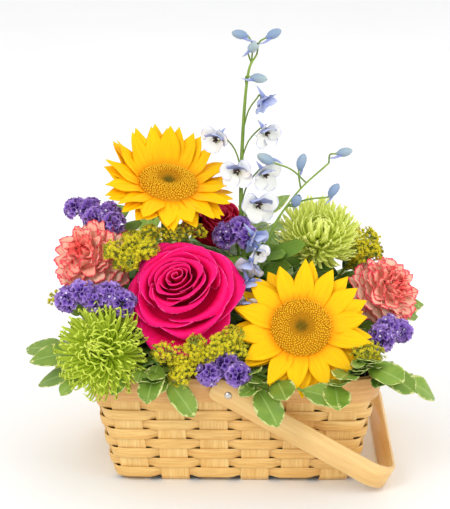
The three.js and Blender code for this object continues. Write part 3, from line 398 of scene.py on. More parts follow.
def corner_point(side, half, angle):
    """A point on the corner that follows a side, at an angle from that side's own facing."""
    sx, sy = [(1, -1), (1, 1), (-1, 1), (-1, -1)][side]
    centre = Vector((sx * (half["x"] - half["corner"]), sy * (half["y"] - half["corner"])))
    a = math.radians(-90 + 90 * side) + angle
    return centre + Vector((math.cos(a), math.sin(a))) * half["corner"]


def into_corner(side, half):
    """The angle by which the last upright of a side reaches round the corner after it."""
    short = side % 2
    last = (UPRIGHTS[short] - 1) / 2 * half["pitch"][short] + REACH
    past = last - ((half["y"] if short else half["x"]) - half["corner"])
    return math.asin(min(max(past / half["corner"], 0), 1))


print("an upright reaches round the rim's corner by radians:", round(into_corner(0, TOP), 2))

# %% Points round the wall
def wall_loop():
    """Points all round the wall: base, top, the way out, and -1 inside to 1 outside an upright."""
    loop = []
    turn = 1
    for side in range(4):
        short = side % 2
        many = UPRIGHTS[short]
        facing = Matrix.Rotation(side * math.pi / 2, 2) @ Vector((0, -1))
        for i in range(many):
            sign = 1 if turn % 2 else -1
            middle = i - (many - 1) / 2
            for v in (-1, -0.5, 0, 0.5, 1):
                at = [side_point(side, half, middle * half["pitch"][short] + v * REACH)
                      for half in (BASE, TOP)]
                loop.append((*at, facing, sign))
            if i < many - 1:
                for t in (0.2, 0.4, 0.6, 0.8):
                    at = []
                    for half in (BASE, TOP):
                        pitch = half["pitch"][short]
                        along = middle * pitch + REACH + t * (pitch - 2 * REACH)
                        at.append(side_point(side, half, along))
                    loop.append((*at, facing, sign * math.cos(math.pi * t)))
            turn += 1
        ends = [(into_corner(side, half), math.pi / 2 - into_corner(side + 1, half))
                for half in (BASE, TOP)]
        for k in range(1, 12):
            t = k / 12
            angles = [a + (b - a) * t for a, b in ends]
            at = [corner_point(side, half, a) for half, a in zip((BASE, TOP), angles)]
            a = math.radians(-90 + 90 * side) + sum(angles) / 2
            loop.append((*at, Vector((math.cos(a), math.sin(a))), sign * math.cos(math.pi * t)))
    return loop


def wall_at(base, top, z, out, offset):
    """The point at a height between base and top, moved out from the wall's middle by an offset."""
    flat = base.lerp(top, z / WALL_TOP) + out * offset
    return Vector((flat.x, flat.y, z))


LOOP = wall_loop()
print("points round the wall:", len(LOOP))

# %% Weave the eight rows
ROWS, FIRST_ROW, ROW_PITCH = 8, 4.2, 8.35
SPLINT_HALF = 4.0
# The section of a splint: the share of its half width, and millimetres out from its middle.
SPLINT_SECTION = [(-1, 0.2), (-0.9, 0.5), (-0.45, 0.68), (0, 0.72), (0.45, 0.68), (0.9, 0.5), (1, 0.2),
                  (1, -0.2), (0.9, -0.5), (0, -0.5), (-0.9, -0.5), (-1, -0.2)]


def weaver(row):
    """One splint round the wall: its section is carried along the loop, wider where it comes out."""
    piece = Piece()
    rows, marks = [], []
    draw = random.Random(100 + row)
    phase = [draw.uniform(0, 6.28) for _ in range(2)]
    height = FIRST_ROW + row * ROW_PITCH + SPLINT_HALF
    travelled = 0.0
    before = None
    hand = 1 if row % 2 == 0 else -1
    for base, top, out, turned in [*LOOP, LOOP[0]]:
        sign = hand * turned
        middle = wall_at(base, top, height, out, 0)
        if before is not None:
            travelled += (middle - before).length
        before = middle
        half = SPLINT_HALF + 0.3 * sign
        sway = 0.12 * math.sin(travelled / 23 + phase[0]) + 0.08 * math.sin(travelled / 9 + phase[1])
        ring = [wall_at(base, top, height + sway + v * half, out, 1.35 * sign + w)
                for v, w in SPLINT_SECTION]
        rows.append(ring)
        marks.append([(travelled, v * SPLINT_HALF, row * 3.7) for v, _ in SPLINT_SECTION])
    piece.grid(rows, marks=marks, ring=True)
    return piece


for row in range(ROWS):
    finish_piece(f"splint_row_{row + 1}", weaver(row), [varnished_ash_weaver], [f"weaver_{row + 1}"])

# %% [markdown]
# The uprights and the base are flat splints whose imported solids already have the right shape. They
# stay, and only take their wood: the grain of one set runs from front to back, of the other from
# side to side.

# %% Dress the uprights
for name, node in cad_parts.items():
    if name.startswith("stake_"):
        node.data.materials.clear()
        node.data.materials.append(varnished_ash_front if "front_back" in name else varnished_ash_side)
print("uprights dressed:", sum(n.startswith("stake_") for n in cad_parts))

# %% [markdown]
# ## Rim, liner and foam
# The rim is a planed band outside the wall and one inside it, with eased edges. The liner is a thin
# moulded tray of dark green **polyethylene**, and it holds a block of **phenolic foam**, whose cells
# make a fine crumbly grain of about half a millimetre, with painted shade in their hollows.

# %% Bend the two rim bands
RIM_LOW, RIM_EASE = 71.0, 0.6


def plan_ring(z, offset, steps=10):
    """Points round the plan at one height, off the wall's middle by an offset."""
    ring = []
    for side in range(4):
        for k in range(steps + 1):
            a = math.pi / 2 * k / steps
            base, top = corner_point(side, BASE, a), corner_point(side, TOP, a)
            turn = math.radians(-90 + 90 * side) + a
            ring.append(wall_at(base, top, z, Vector((math.cos(turn), math.sin(turn))), offset))
    return ring


def rim_band(inner, outer, seed):
    """A band with eased edges between two offsets from the wall's middle."""
    piece = Piece()
    low, high, ease = RIM_LOW, WALL_TOP, RIM_EASE
    section = [(low, outer - ease), (low + ease, outer), ((low + high) / 2, outer + 0.05),
               (high - ease, outer), (high, outer - ease), (high, inner + ease), (high - ease, inner),
               (low + ease, inner), (low, inner + ease)]
    rings = [plan_ring(z, offset) for z, offset in section]
    rows, marks = [], []
    travelled = 0.0
    for i in range(len(rings[0]) + 1):
        k = i % len(rings[0])
        if i:
            travelled += (rings[2][k] - rings[2][i - 1]).length
        rows.append([ring[k] for ring in rings])
        marks.append([(travelled, z - low, seed) for z, _ in section])
    piece.grid(rows, marks=marks, ring=True)
    return piece


finish_piece("rim_band_outer", rim_band(1.4, 3.6, 5.0), [planed_ash_rim], ["rim_outer"])
finish_piece("rim_band_inner", rim_band(-3.4, -1.4, 9.0), [planed_ash_rim], ["rim_inner"])

# %% Dress the liner and the foam
moulded_polyethylene, tree, shader = start_finish("moulded_polyethylene", IOR=1.51, Roughness=0.42)
place = add(tree, "TexCoord").outputs["Object"]
scuff = add(tree, "TexNoise", {"Vector": place, "Scale": 160, "Detail": 4})
dark_green, worn_green = linear("26331F"), linear("38472C")
colour = add(tree, "Mix", {0: scuff.outputs[0], 6: dark_green, 7: worn_green}, data_type="RGBA")
tree.links.new(colour.outputs[2], shader.inputs["Base Color"])
ripple = add(tree, "Bump", {"Height": scuff.outputs[0], "Strength": 0.15, "Distance": 0.0005})
tree.links.new(ripple.outputs[0], shader.inputs["Normal"])

phenolic_foam, tree, shader = start_finish("wet_phenolic_foam", Roughness=0.9)
place = add(tree, "TexCoord").outputs["Object"]
cells = add(tree, "TexVoronoi", {"Vector": place, "Scale": 1400})
soak = add(tree, "TexNoise", {"Vector": place, "Scale": 45, "Detail": 3})
wet, damp = linear("1E3F25"), linear("335E38")
base = add(tree, "Mix", {0: soak.outputs[0], 6: wet, 7: damp}, data_type="RGBA").outputs[2]
hollow = cells.outputs["Distance"]
# The middles of the cells, the pores, are mixed to a darker green: painted shade in the pores.
colour = add(tree, "Mix", {0: hollow, 6: linear("16301B"), 7: base}, data_type="RGBA")
tree.links.new(colour.outputs[2], shader.inputs["Base Color"])
crumble = add(tree, "Bump", {"Height": hollow, "Strength": 0.6, "Distance": 0.0006})
tree.links.new(crumble.outputs[0], shader.inputs["Normal"])

for name, finish in (("liner", moulded_polyethylene), ("foam", phenolic_foam)):
    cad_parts[name].data.materials.clear()
    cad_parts[name].data.materials.append(finish)
print("liner and foam dressed")

# %% [markdown]
# ## The handle and its rivets
# One strap of wood, 19 mm wide and 3 mm thick, is steamed and bent to a flat U. It swings on two
# rivets and lies forward over the right side. It is drawn flat along +X from its pivot and then
# turned down by 29 degrees about the rivets' axis. The rivets are nickel-plated steel with a domed
# head and a small collar, turned as a lathe would turn them.

# %% Bend the strap
PIVOT = Vector((-5, 0, 79))
REST = Matrix.Translation(PIVOT) @ Matrix.Rotation(math.radians(29), 4, "Y")
STRAP_HALF_WIDE, STRAP_HALF_THICK = 9.5, 1.5
# The share of the strap's width at each step of its rounded ends.
STRAP_TAIL = [0.56, 0.66, 0.78, 0.88, 0.95, 0.99]
# Its section, as shares of its half thickness and half width, with eased edges.
STRAP_SECTION = [(-1, 0.55), (-0.93, 1), (0, 1.04), (0.93, 1), (1, 0.55),
                 (1, -0.55), (0.93, -1), (0, -1), (-0.93, -1), (-1, -0.55)]


def strap_path():
    """The strap's middle line, from the front tail round the bend to the middle of its back."""
    near, far, arm, bend = 94.0, 103.0, 143.5, 22.0
    straight = 12.0
    line = [(x, -near) for x in (-14, -13.6, -12.8, -11.6, -10, -8, -4, 0, 6, straight)]
    for t in (0.1, 0.2, 0.3, 0.4, 0.5, 0.6, 0.7, 0.8, 0.9, 0.97):
        line.append((straight + (arm - bend - straight) * t, -near - (far - near) * t))
    for k in range(13):
        a = math.radians(-90 + 7.5 * k)
        line.append((arm - bend + bend * math.cos(a), -far + bend + bend * math.sin(a)))
    half = [Vector((x, y, 0)) for x, y in line]
    return half + [Vector((arm, y, 0)) for y in (-60, -40, -20, 0)]


def strap():
    """The whole strap at rest: half of it along the path, and the same half mirrored."""
    half = strap_path()
    path = half + [Vector((p.x, -p.y, 0)) for p in reversed(half[:-1])]
    piece = Piece()
    rows, marks = [], []
    travelled = 0.0
    for i, point in enumerate(path):
        along = heading(path, i)
        out = Vector((along.y, -along.x, 0))
        travelled += (point - path[max(i - 1, 0)]).length
        end = min(i, len(path) - 1 - i)
        wide = STRAP_HALF_WIDE * (STRAP_TAIL[end] if end < len(STRAP_TAIL) else 1)
        rows.append([REST @ (point + out * (w * STRAP_HALF_THICK) + Vector((0, 0, v * wide)))
                     for v, w in STRAP_SECTION])
        marks.append([(travelled, v * wide, 2.2) for v, _ in STRAP_SECTION])
    first = piece.grid(rows, marks=marks, ring=True)
    count = len(STRAP_SECTION)
    last = first + (len(rows) - 1) * count
    piece.cap(range(first + count - 1, first - 1, -1))
    piece.cap(range(last, last + count))
    return piece


finish_piece("handle_strap", strap(), [bent_maple_strap], ["handle"], body="handle")

# %% Turn the rivets
nickel, tree, shader = start_finish("nickel_plated_steel", Metallic=1.0)
place = add(tree, "TexCoord").outputs["Object"]
wear = add(tree, "TexNoise", {"Vector": place, "Scale": 900, "Detail": 3})
dull, bright = linear("B9B4AE"), linear("E4E0DA")
colour = add(tree, "Mix", {0: wear.outputs[0], 6: dull, 7: bright}, data_type="RGBA")
tree.links.new(colour.outputs[2], shader.inputs["Base Color"])
rough = add(tree, "MapRange", {"Value": wear.outputs[0], "To Min": 0.22, "To Max": 0.42})
tree.links.new(rough.outputs[0], shader.inputs["Roughness"])


# Radius and distance from the basket's middle: the domed head, the collar and the burr inside.
RIVET_PROFILE = [(0.01, 97.25), (0.9, 97.2), (1.7, 97.0), (2.4, 96.6), (2.8, 96.15), (2.9, 95.8),
                 (1.2, 95.8), (1.2, 92.2), (3.4, 92.2), (3.4, 91.4), (1.2, 91.4),
                 (1.2, 82.7), (2.6, 82.7), (2.6, 81.9), (0.01, 81.9)]


def rivet(side):
    """A rivet, turned round its axis through the rim and the strap: -1 in front and 1 behind."""
    piece = Piece()
    turn = [2 * math.pi * j / 32 for j in range(32)]
    rows = []
    for radius, reach in RIVET_PROFILE:
        rows.append([Vector((PIVOT.x + radius * math.cos(a), side * reach, PIVOT.z + radius * math.sin(a)))
                     for a in turn])
    piece.grid(rows if side < 0 else rows[::-1], ring=True)
    return piece


for side, end in ((-1, "front"), (1, "back")):
    finish_piece(f"rivet_head_{end}", rivet(side), [nickel], [f"rivet_{end}"], smooth=False)

# %% [markdown]
# ## Stems
# Every stem stands in a hole in the foam and curves up to its bloom. The paths below are the ones of
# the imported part: a radius, then the foot, the mouth of the hole and three points on the way. Fresh
# **stems** are smooth, waxy and mid green, a little yellower where the light comes through, with fine
# ridges along them. Sepals and bracts are the same living green.

# %% Where the stems run
STEMS = {
    "sunflower_front": (3.4, (36.1, -21.5, 59), (40.4, -35.2, 100.8), (45.4, -46.8, 106.7),
        (48.7, -57.4, 113), (50.2, -66.8, 119.9)),
    "sunflower_back": (3.4, (-31.5, -3.7, 59), (-34.3, -4, 101), (-49.5, 3, 142.6),
        (-56.7, 2.2, 180.2), (-55.8, -6.3, 214)),
    "rose_pink": (2.6, (-27.6, -31.2, 59), (-30.2, -36.5, 101), (-33.9, -38.3, 118.6),
        (-36.6, -43.9, 132.1), (-38.4, -53, 141.7)),
    "rose_red": (2.6, (-0.1, 9, 59), (-4.4, 12.3, 101), (-18.2, 25, 122.7), (-24.5, 29.9, 142.7),
        (-23.4, 26.9, 161)),
    "carnation_left": (2, (-54.3, -13, 59), (-62.8, -11.9, 100.9), (-75.2, -2.3, 120.2),
        (-86, -0.8, 136), (-95.5, -7.5, 148.1)),
    "carnation_right": (2, (53.5, -13.7, 59), (67.2, -7.4, 100.8), (81.1, 6, 106.8),
        (92.3, 11.1, 113.1), (100.8, 7.8, 119.8)),
    "chrysanthemum_left": (2.2, (-49.8, -28.7, 59), (-63.2, -43.3, 100.6), (-79.3, -56.5, 99.7),
        (-91.3, -69.6, 102.3), (-99.1, -82.6, 108.4)),
    "chrysanthemum_right": (2.2, (35.8, 8.7, 59), (40.4, 7.9, 101), (53.7, 13.5, 128.7),
        (62.1, 12.1, 153.4), (65.7, 3.8, 175.3)),
    "delphinium_tall": (2.2, (8, -8.5, 59), (8, -10.2, 101), (8.7, -14.5, 118.4),
        (8.7, -16.4, 134.8), (8, -16, 150)),
    "delphinium_leaning": (2.2, (17.3, -11.9, 59), (18.1, -14.2, 101), (15.1, -22.8, 127.1),
        (16.4, -26.7, 150.8), (22, -26, 172)),
    "statice_left_high": (1.3, (-53.7, 24.4, 59), (-60.7, 21.7, 100.9), (-77.7, 20.1, 131.8),
        (-92.6, 14.3, 159.8), (-105.5, 4.5, 184.9)),
    "statice_left_low": (1.3, (-59.4, -18.8, 59), (-68.9, -26.7, 100.8), (-86.3, -33.7, 115.9),
        (-98.3, -43.8, 129), (-104.8, -57.1, 140.1)),
    "statice_middle": (1.3, (-0.3, -15.8, 59), (0, -13.8, 101), (1.1, 4.3, 133.7),
        (1.8, 7.8, 158.9), (2, -3.2, 176.4)),
    "statice_front": (1.3, (-9.1, -28.7, 59), (-7.9, -52, 100.5), (-6.8, -65.9, 96.1),
        (-6.3, -75.7, 94.1), (-6.4, -81.5, 94.5)),
    "statice_right": (1.3, (55, -34.7, 59), (73.6, -33.9, 100.7), (90.1, -27.4, 102.9),
        (102.9, -26.9, 105.7), (112.1, -32.4, 109)),
    "solidago_left": (1.1, (-43.2, -17.6, 59), (-48.5, -22.5, 100.9), (-64.1, -32.6, 137.5),
        (-74.3, -41.9, 162.6), (-79.2, -50.3, 176.3)),
    "solidago_front": (1.1, (-30, -48, 59), (-30, -52.4, 101), (-30, -66.8, 100.8),
        (-30, -79.7, 102.5), (-30, -91.2, 106.3)),
    "solidago_right": (1.1, (50.7, 20.3, 59), (58.8, 20, 100.9), (72.8, 23.3, 122.7),
        (85.5, 22.7, 142.6), (96.9, 18.2, 160.7)),
    "pittosporum_1": (1.2, (-57.4, -24.2, 59), (-73, -38.2, 100.6), (-83.4, -53.6, 106.1),
        (-93.7, -62.9, 106.6), (-104, -66, 102)),
    "pittosporum_2": (1.2, (-50.5, -33.3, 59), (-54, -52.7, 100.6), (-55.8, -71.3, 110.7),
        (-58.1, -84.4, 112.5), (-61, -92, 106)),
    "pittosporum_3": (1.2, (25.6, -31.1, 59), (19.5, -51.8, 100.6), (7.1, -71.5, 106.1),
        (3, -85.6, 105.9), (7, -94, 100)),
    "pittosporum_4": (1.2, (68, -36.4, 59), (70.2, -40.4, 101), (85.5, -68.2, 108.4),
        (94.8, -85.4, 109.7), (98, -92, 105)),
    "pittosporum_5": (1.2, (55.4, 13.1, 59), (74, 15.7, 100.6), (84.7, 16.8, 104.2),
        (94.7, 18.3, 106), (104, 20, 106)),
    "pittosporum_6": (1.2, (32.1, 40.5, 59), (41.1, 51.9, 100.8), (48.8, 61.1, 105.5),
        (55.1, 69.1, 111.3), (60, 76, 118)),
    "pittosporum_7": (1.2, (-25.2, 42.9, 59), (-22.4, 51.6, 100.9), (-20.9, 56.5, 114.5),
        (-18.8, 63.3, 123.5), (-16, 72, 128)),
    "pittosporum_8": (1.2, (-57.1, 37.8, 59), (-66.9, 44.6, 100.8), (-74.3, 51.7, 106.4),
        (-80.6, 56.2, 112.8), (-86, 58, 120)),
}
print("stems:", len(STEMS))

# %% Make the green finishes
def living_green(name, deep, pale, roughness=0.5):
    """Waxy plant green: paler towards the tip, with ridges along and cloudy patches."""
    material, tree, shader = start_finish(name, IOR=1.42, Roughness=roughness, Sheen_Weight=0.15)
    mark = add(tree, "Attribute", attribute_name="mark").outputs["Vector"]
    along = add(tree, "SeparateXYZ", {0: mark}).outputs[0]
    place = add(tree, "TexCoord").outputs["Object"]
    cloud = add(tree, "TexNoise", {"Vector": place, "Scale": 120, "Detail": 4}).outputs[0]
    tone = add(tree, "Math", {0: along, 1: 0.55, 2: cloud}, operation="MULTIPLY_ADD").outputs[0]
    share = add(tree, "MapRange", {"Value": tone, "From Min": 0.3, "From Max": 1.1}).outputs[0]
    colour = add(tree, "Mix", {0: share, 6: linear(deep), 7: linear(pale)}, data_type="RGBA")
    tree.links.new(colour.outputs[2], shader.inputs["Base Color"])
    lines = add(tree, "VectorMath", {0: mark, 1: (2, 9, 5)}, operation="MULTIPLY").outputs[0]
    ridge = add(tree, "TexNoise", {"Vector": lines, "Scale": 1.5, "Detail": 2}).outputs[0]
    bump = add(tree, "Bump", {"Height": ridge, "Strength": 0.3, "Distance": 0.0004}).outputs[0]
    tree.links.new(bump, shader.inputs["Normal"])
    return material


stem_green = living_green("fresh_stem", "3F6B22", "8DB34A")
sepal_green = living_green("fresh_sepal", "3B6A24", "7FA845")


def stem(piece, name, end=None, finish=0):
    """A smooth stem along its path, and on to the back of its bloom."""
    radius, *points = STEMS[name]
    if end is not None:
        points.append(end)
    piece.tube(path_through(points, 22), radius, sides=10, finish=finish)


print("green finishes made: 2")

# %% [markdown]
# ## How a petal is drawn
# A petal is a thin sheet: rows of points from its root to its tip, as wide as its outline says. It
# curls as it grows, its edges lift into a channel, and its rim may wave. Two builders do all of it.
# `flat_petal` grows straight out along a line. `cup_petal` stands round the bloom's own axis, and can
# drop its corners, gather itself in ruffles and cut teeth in its edge.

# %% Draw petals
def flat_petal(root, along, up, length, width, outline, curl=0.0, channel=0.0, ripple=0.0, waves=3.0,
               rows=12, cols=7, twist=0.0, phase=0.0, groove=0.0):
    """A sheet that grows along one way and curls towards its upper side."""
    along, up = along.normalized(), up.normalized()
    side = up.cross(along).normalized()
    bend = curl if abs(curl) > 1e-3 else 1e-3
    sheet = []
    for i in range(rows + 1):
        s = i / rows
        a = bend * s
        middle = root + along * (length * math.sin(a) / bend) + up * (length * (1 - math.cos(a)) / bend)
        rise = up * math.cos(a) - along * math.sin(a)
        turn = twist * s
        across = side * math.cos(turn) + rise * math.sin(turn)
        lift = rise * math.cos(turn) - side * math.sin(turn)
        half = width / 2 * max(curve_at(outline, s), 0)
        wave = math.sin(waves * 2 * math.pi * s + phase)
        row = []
        for j in range(cols):
            v = 2 * j / (cols - 1) - 1
            high = channel * half * v * v + groove * math.cos(3 * math.pi * v) * math.sin(math.pi * s)
            high += ripple * abs(v) ** 1.5 * v * wave * min(1, 4 * s) * min(1, 5 * (1 - s))
            row.append(middle + across * (v * half) + lift * high)
        sheet.append(row)
    return sheet


def cup_petal(bloom, angle, spread, table, rows=10, cols=11, lean=0.0, drop=0.25, power=2.0,
              ruffle=0.0, folds=3.0, teeth=0.0, phase=0.0, crinkle=0.0):
    """A sheet round the bloom's axis, from (radius, height, share of its spread) up its middle."""
    steps = len(table) - 1
    tables = [[(i / steps, row[k]) for i, row in enumerate(table)] for k in range(3)]
    sheet = []
    for i in range(rows + 1):
        row = []
        for j in range(cols):
            v = 2 * j / (cols - 1) - 1
            s = i / rows * (1 - drop * abs(v) ** power)
            if teeth and i == rows:
                s -= teeth * (j % 2)
            radius, height, share = (curve_at(t, s) for t in tables)
            aside = lean * radius * v
            a = angle + v * spread / 2 * share
            frill = ruffle * s**3
            wave = frill * math.sin(folds * math.pi * v + phase)
            wave += crinkle * s**2 * math.sin(2.9 * folds * math.pi * v + 3 * phase)
            sway = frill * 0.7 * math.cos(folds * math.pi * v * 1.3 + 2 * phase)
            row.append(bloom.at(a, radius + aside + wave, height - 0.5 * aside + sway))
        sheet.append(row)
    return sheet


print("rows in a petal:", len(flat_petal(Vector(), Vector((1, 0, 0)), UP, 30, 12, [(0, 0.5), (1, 0)])))

# %% [markdown]
# ## Petal finishes
# A living petal is a thin skin over water and air. Its colour deepens towards the root, faint veins
# run to the tip, and a velvety sheen lifts its edges. One builder mixes three colours from root to
# tip, adds an edge colour, and draws the veins with a noise that is stretched along the petal, so
# that they lie about half a millimetre to one millimetre apart. The IOR is a little under that of
# wax or water, because a velvety skin mirrors less.

# %% Make a petal finish
def petal_finish(name, root, middle, tip, edge=None, edge_width=0.1, roughness=0.5, sheen=0.25,
                 veins=7.0, vein_depth=0.25, root_reach=0.25, shade_dark=0.0, deep=None):
    """Three colours from root to tip, an edge, fine veins, and a deeper tone by the mark's shade."""
    material, tree, shader = start_finish(name, IOR=1.25, Roughness=roughness, Sheen_Weight=sheen,
                                          Sheen_Roughness=0.4, Sheen_Tint=linear(tip))
    mark = add(tree, "Attribute", attribute_name="mark").outputs["Vector"]
    along, across, shade = add(tree, "SeparateXYZ", {0: mark}).outputs
    low = add(tree, "MapRange", {"Value": along, "From Max": root_reach}).outputs[0]
    high = add(tree, "MapRange", {"Value": along, "From Min": root_reach, "From Max": 1.0}).outputs[0]
    colour = add(tree, "Mix", {0: high, 6: linear(middle), 7: linear(tip)}, data_type="RGBA").outputs[2]
    colour = add(tree, "Mix", {0: low, 6: linear(root), 7: colour}, data_type="RGBA").outputs[2]
    lines = add(tree, "VectorMath", {0: mark, 1: (1.2, veins, 11)}, operation="MULTIPLY").outputs[0]
    vein = add(tree, "TexNoise", {"Vector": lines, "Scale": 1.5, "Detail": 3, "Roughness": 0.55}).outputs[0]
    steps = {"Value": vein, "From Min": 0.45, "From Max": 0.7, "To Max": vein_depth}
    dark = add(tree, "MapRange", steps).outputs[0]
    colour = add(tree, "Mix", {0: dark, 6: colour, 7: linear(root)}, data_type="RGBA").outputs[2]
    if edge:
        rim = add(tree, "Math", {0: across}, operation="ABSOLUTE").outputs[0]
        far = add(tree, "Math", {0: rim, 1: along}, operation="MAXIMUM").outputs[0]
        rough_edge = add(tree, "Math", {0: vein, 1: 0.25, 2: -0.12}, operation="MULTIPLY_ADD").outputs[0]
        far = add(tree, "Math", {0: far, 1: rough_edge}, operation="ADD").outputs[0]
        mask = add(tree, "MapRange", {"Value": far, "From Min": 1 - edge_width, "From Max": 1.0},
                   interpolation_type="SMOOTHSTEP").outputs[0]
        colour = add(tree, "Mix", {0: mask, 6: colour, 7: linear(edge)}, data_type="RGBA").outputs[2]
    if shade_dark:
        amount = add(tree, "Math", {0: shade, 1: shade_dark}, operation="MULTIPLY").outputs[0]
        depth = {0: amount, 6: colour, 7: linear(deep or root)}
        colour = add(tree, "Mix", depth, data_type="RGBA").outputs[2]
    tree.links.new(colour, shader.inputs["Base Color"])
    bump = add(tree, "Bump", {"Height": vein, "Strength": 0.3, "Distance": 0.0004}).outputs[0]
    tree.links.new(bump, shader.inputs["Normal"])
    return material


print("petal finish ready")

# %% [markdown]
# ## Sunflowers
# A sunflower is two things. Its face is a disc of several hundred tiny florets, set in spirals by the
# golden angle, green and closed at the eye and open with brown gold tips outside. Round it stand three
# layers of pointed ray petals, creased along their length. A loop that turns by 137.5 degrees for
# each floret gives the disc, and petals drawn in rounds give the rays.

# %% Sunflower finishes
sun_petal = petal_finish(
    "sunflower_ray_petal", "F29A00", "FDC000", "FFCC00", roughness=0.6, veins=6, vein_depth=0.4,
    root_reach=0.3, sheen=0.1)
sun_disc, tree, shader = start_finish("sunflower_floret", IOR=1.3, Roughness=0.8)
mark = add(tree, "Attribute", attribute_name="mark").outputs["Vector"]
radius, height, shade = add(tree, "SeparateXYZ", {0: mark}).outputs
inner = add(tree, "MapRange", {"Value": radius, "From Min": 0.1, "From Max": 0.26}).outputs[0]
outer = add(tree, "MapRange", {"Value": radius, "From Min": 0.2, "From Max": 0.6}).outputs[0]
green_eye, brown_gold = linear("566414"), linear("C08E10")
colour = add(tree, "Mix", {0: inner, 6: green_eye, 7: brown_gold}, data_type="RGBA").outputs[2]
colour = add(tree, "Mix", {0: outer, 6: colour, 7: linear("F0AC08")}, data_type="RGBA").outputs[2]
tips = add(tree, "Math", {0: height, 1: outer}, operation="MULTIPLY").outputs[0]
colour = add(tree, "Mix", {0: tips, 6: colour, 7: linear("FFCE28")}, data_type="RGBA").outputs[2]
# The dome and the feet of the florets carry a shade mark and are mixed to dark brown: painted shade between
# the florets.
colour = add(tree, "Mix", {0: shade, 6: colour, 7: linear("A86C04")}, data_type="RGBA").outputs[2]
tree.links.new(colour, shader.inputs["Base Color"])
print("sunflower finishes made")

# %% Draw ray petals
SUN_OUTLINE = [(0, 0.82), (0.2, 0.98), (0.4, 1.0), (0.62, 0.82), (0.82, 0.45), (1, 0.01)]
BRACT_OUTLINE = [(0, 0.9), (0.3, 1.0), (0.7, 0.6), (1, 0.02)]
GOLDEN = math.pi * (3 - math.sqrt(5))


def ray_petal(bloom, angle, root, tilt, length, width, outline, **shape):
    """A flat petal that leans out from the bloom's face by an angle."""
    out = bloom.ray(angle)
    along = out * math.cos(tilt) + bloom.out * math.sin(tilt)
    up = bloom.out * math.cos(tilt) - out * math.sin(tilt)
    return flat_petal(bloom.at(angle, *root), along, up, length, width, outline, **shape)


print("golden angle in degrees:", round(math.degrees(GOLDEN), 1))

# %% Draw the seed disc
# Radius and height of its dome, which dips at the eye.
DISC_DOME = [(0, 4.2), (4.5, 4.6), (8, 5.9), (11.5, 6.4), (15, 6.2), (18, 5.2), (21, 3.4), (23, 1.4),
             (24, -0.8)]
DISC_RADIUS, FLORETS = 23, 620


def seed_disc(bloom, draw):
    """The dome, and its florets as small open tubes in spirals."""
    disc = Piece()
    dome = bloom.turned([(max(radius, 0.05), height - 0.6) for radius, height in DISC_DOME], 40)
    # The dome's shade of 0.55 is painted shade between the florets, which the disc finish turns dark brown.
    disc.grid(dome, marks=[[(radius / DISC_RADIUS, 0, 0.55)] * 40 for radius, _ in DISC_DOME], ring=True)
    for n in range(FLORETS):
        radius = 23.2 * math.sqrt((n + 0.5) / FLORETS) * draw.uniform(0.985, 1.015)
        angle = n * GOLDEN + draw.uniform(-0.5, 0.5) / (radius + 1)
        lean = max(radius - 12, 0) / 26
        out = (bloom.out + bloom.ray(angle) * lean).normalized()
        tall = (1.3 if radius < 9 else 1.9) * draw.uniform(0.85, 1.15)
        foot = bloom.at(angle, radius, curve_at(DISC_DOME, radius) - 0.7)
        side, other = sides_of(out)
        mouth = 0.62 * (1 if radius > 10 else 0.6)
        spin = [2 * math.pi * j / 5 + angle for j in range(5)]
        rings, marks = [], []
        for share, wide in ((0, 0.42), (0.6, 0.34), (1.0, mouth), (0.86, 0.12)):
            middle = foot + out * (tall * share)
            rings.append([middle + (side * math.cos(a) + other * math.sin(a)) * wide for a in spin])
            # The foot ring of each floret gets a shade of 0.7: painted shade where the florets stand close.
            marks.append([(radius / DISC_RADIUS, share, 0.0 if share else 0.7)] * 5)
        disc.grid(rings, marks=marks, ring=True)
    return disc


print("florets in a disc:", FLORETS)

# %% Draw the bracts and the rays
def bracts_and_stem(name, bloom, draw):
    """The green cup under the petals, its 24 pointed bracts in two layers, and the stem."""
    green = Piece()
    stem(green, name, bloom.at(0, 0, -13))
    cup = [(3.6, -15.5), (8.5, -12.5), (12.6, -8.6), (14.5, -5.2), (14.0, -4.4), (0.1, -4.3)]
    green.grid(bloom.turned(cup, 24), ring=True)
    for k in range(24):
        angle = 2 * math.pi * (k + 0.5) / 24
        layer = k % 2
        root = (12.5 - layer, -5.2 - 1.6 * layer)
        tilt = -0.12 - 0.22 * layer + draw.uniform(-0.05, 0.05)
        green.grid(ray_petal(bloom, angle, root, tilt, 21 + draw.uniform(-2, 2), 8.5, BRACT_OUTLINE,
                             curl=-0.3, channel=0.2, rows=7, cols=5))
    return green


# The height, the lift and the share of its length of each layer of petals, and its turn.
RAY_LAYERS = [(-0.6, 0.1, 0.98, 0.25), (-2.2, -0.03, 1.0, 0.75), (-3.5, -0.12, 0.97, 0.5)]
RAY_ROOT = 21.5


def ray_petals(bloom, reach, rise, grow, rounds, draw):
    """Three layers of petals, which rise and grow by where they stand round the disc."""
    petals = Piece()
    for many, (height, lift, share, turn) in zip(rounds, RAY_LAYERS):
        for k in range(many):
            angle = 2 * math.pi * (k + turn) / many + draw.uniform(-0.04, 0.04)
            tilt = rise(angle) + lift + draw.uniform(-0.05, 0.05)
            length = (reach - 21) * share * grow(angle) * draw.uniform(0.93, 1.06)
            petals.grid(ray_petal(bloom, angle, (RAY_ROOT, height), tilt, length,
                                  draw.uniform(15.6, 19.0), SUN_OUTLINE,
                                  curl=draw.uniform(-0.35, 0.2), channel=draw.uniform(-0.05, 0.18),
                                  twist=draw.uniform(-0.35, 0.35), groove=0.35, ripple=1.0, waves=1.3,
                                  phase=draw.uniform(0, 6), rows=14, cols=13), shade=draw.random())
    return petals


print("layers of rays:", len(RAY_LAYERS))

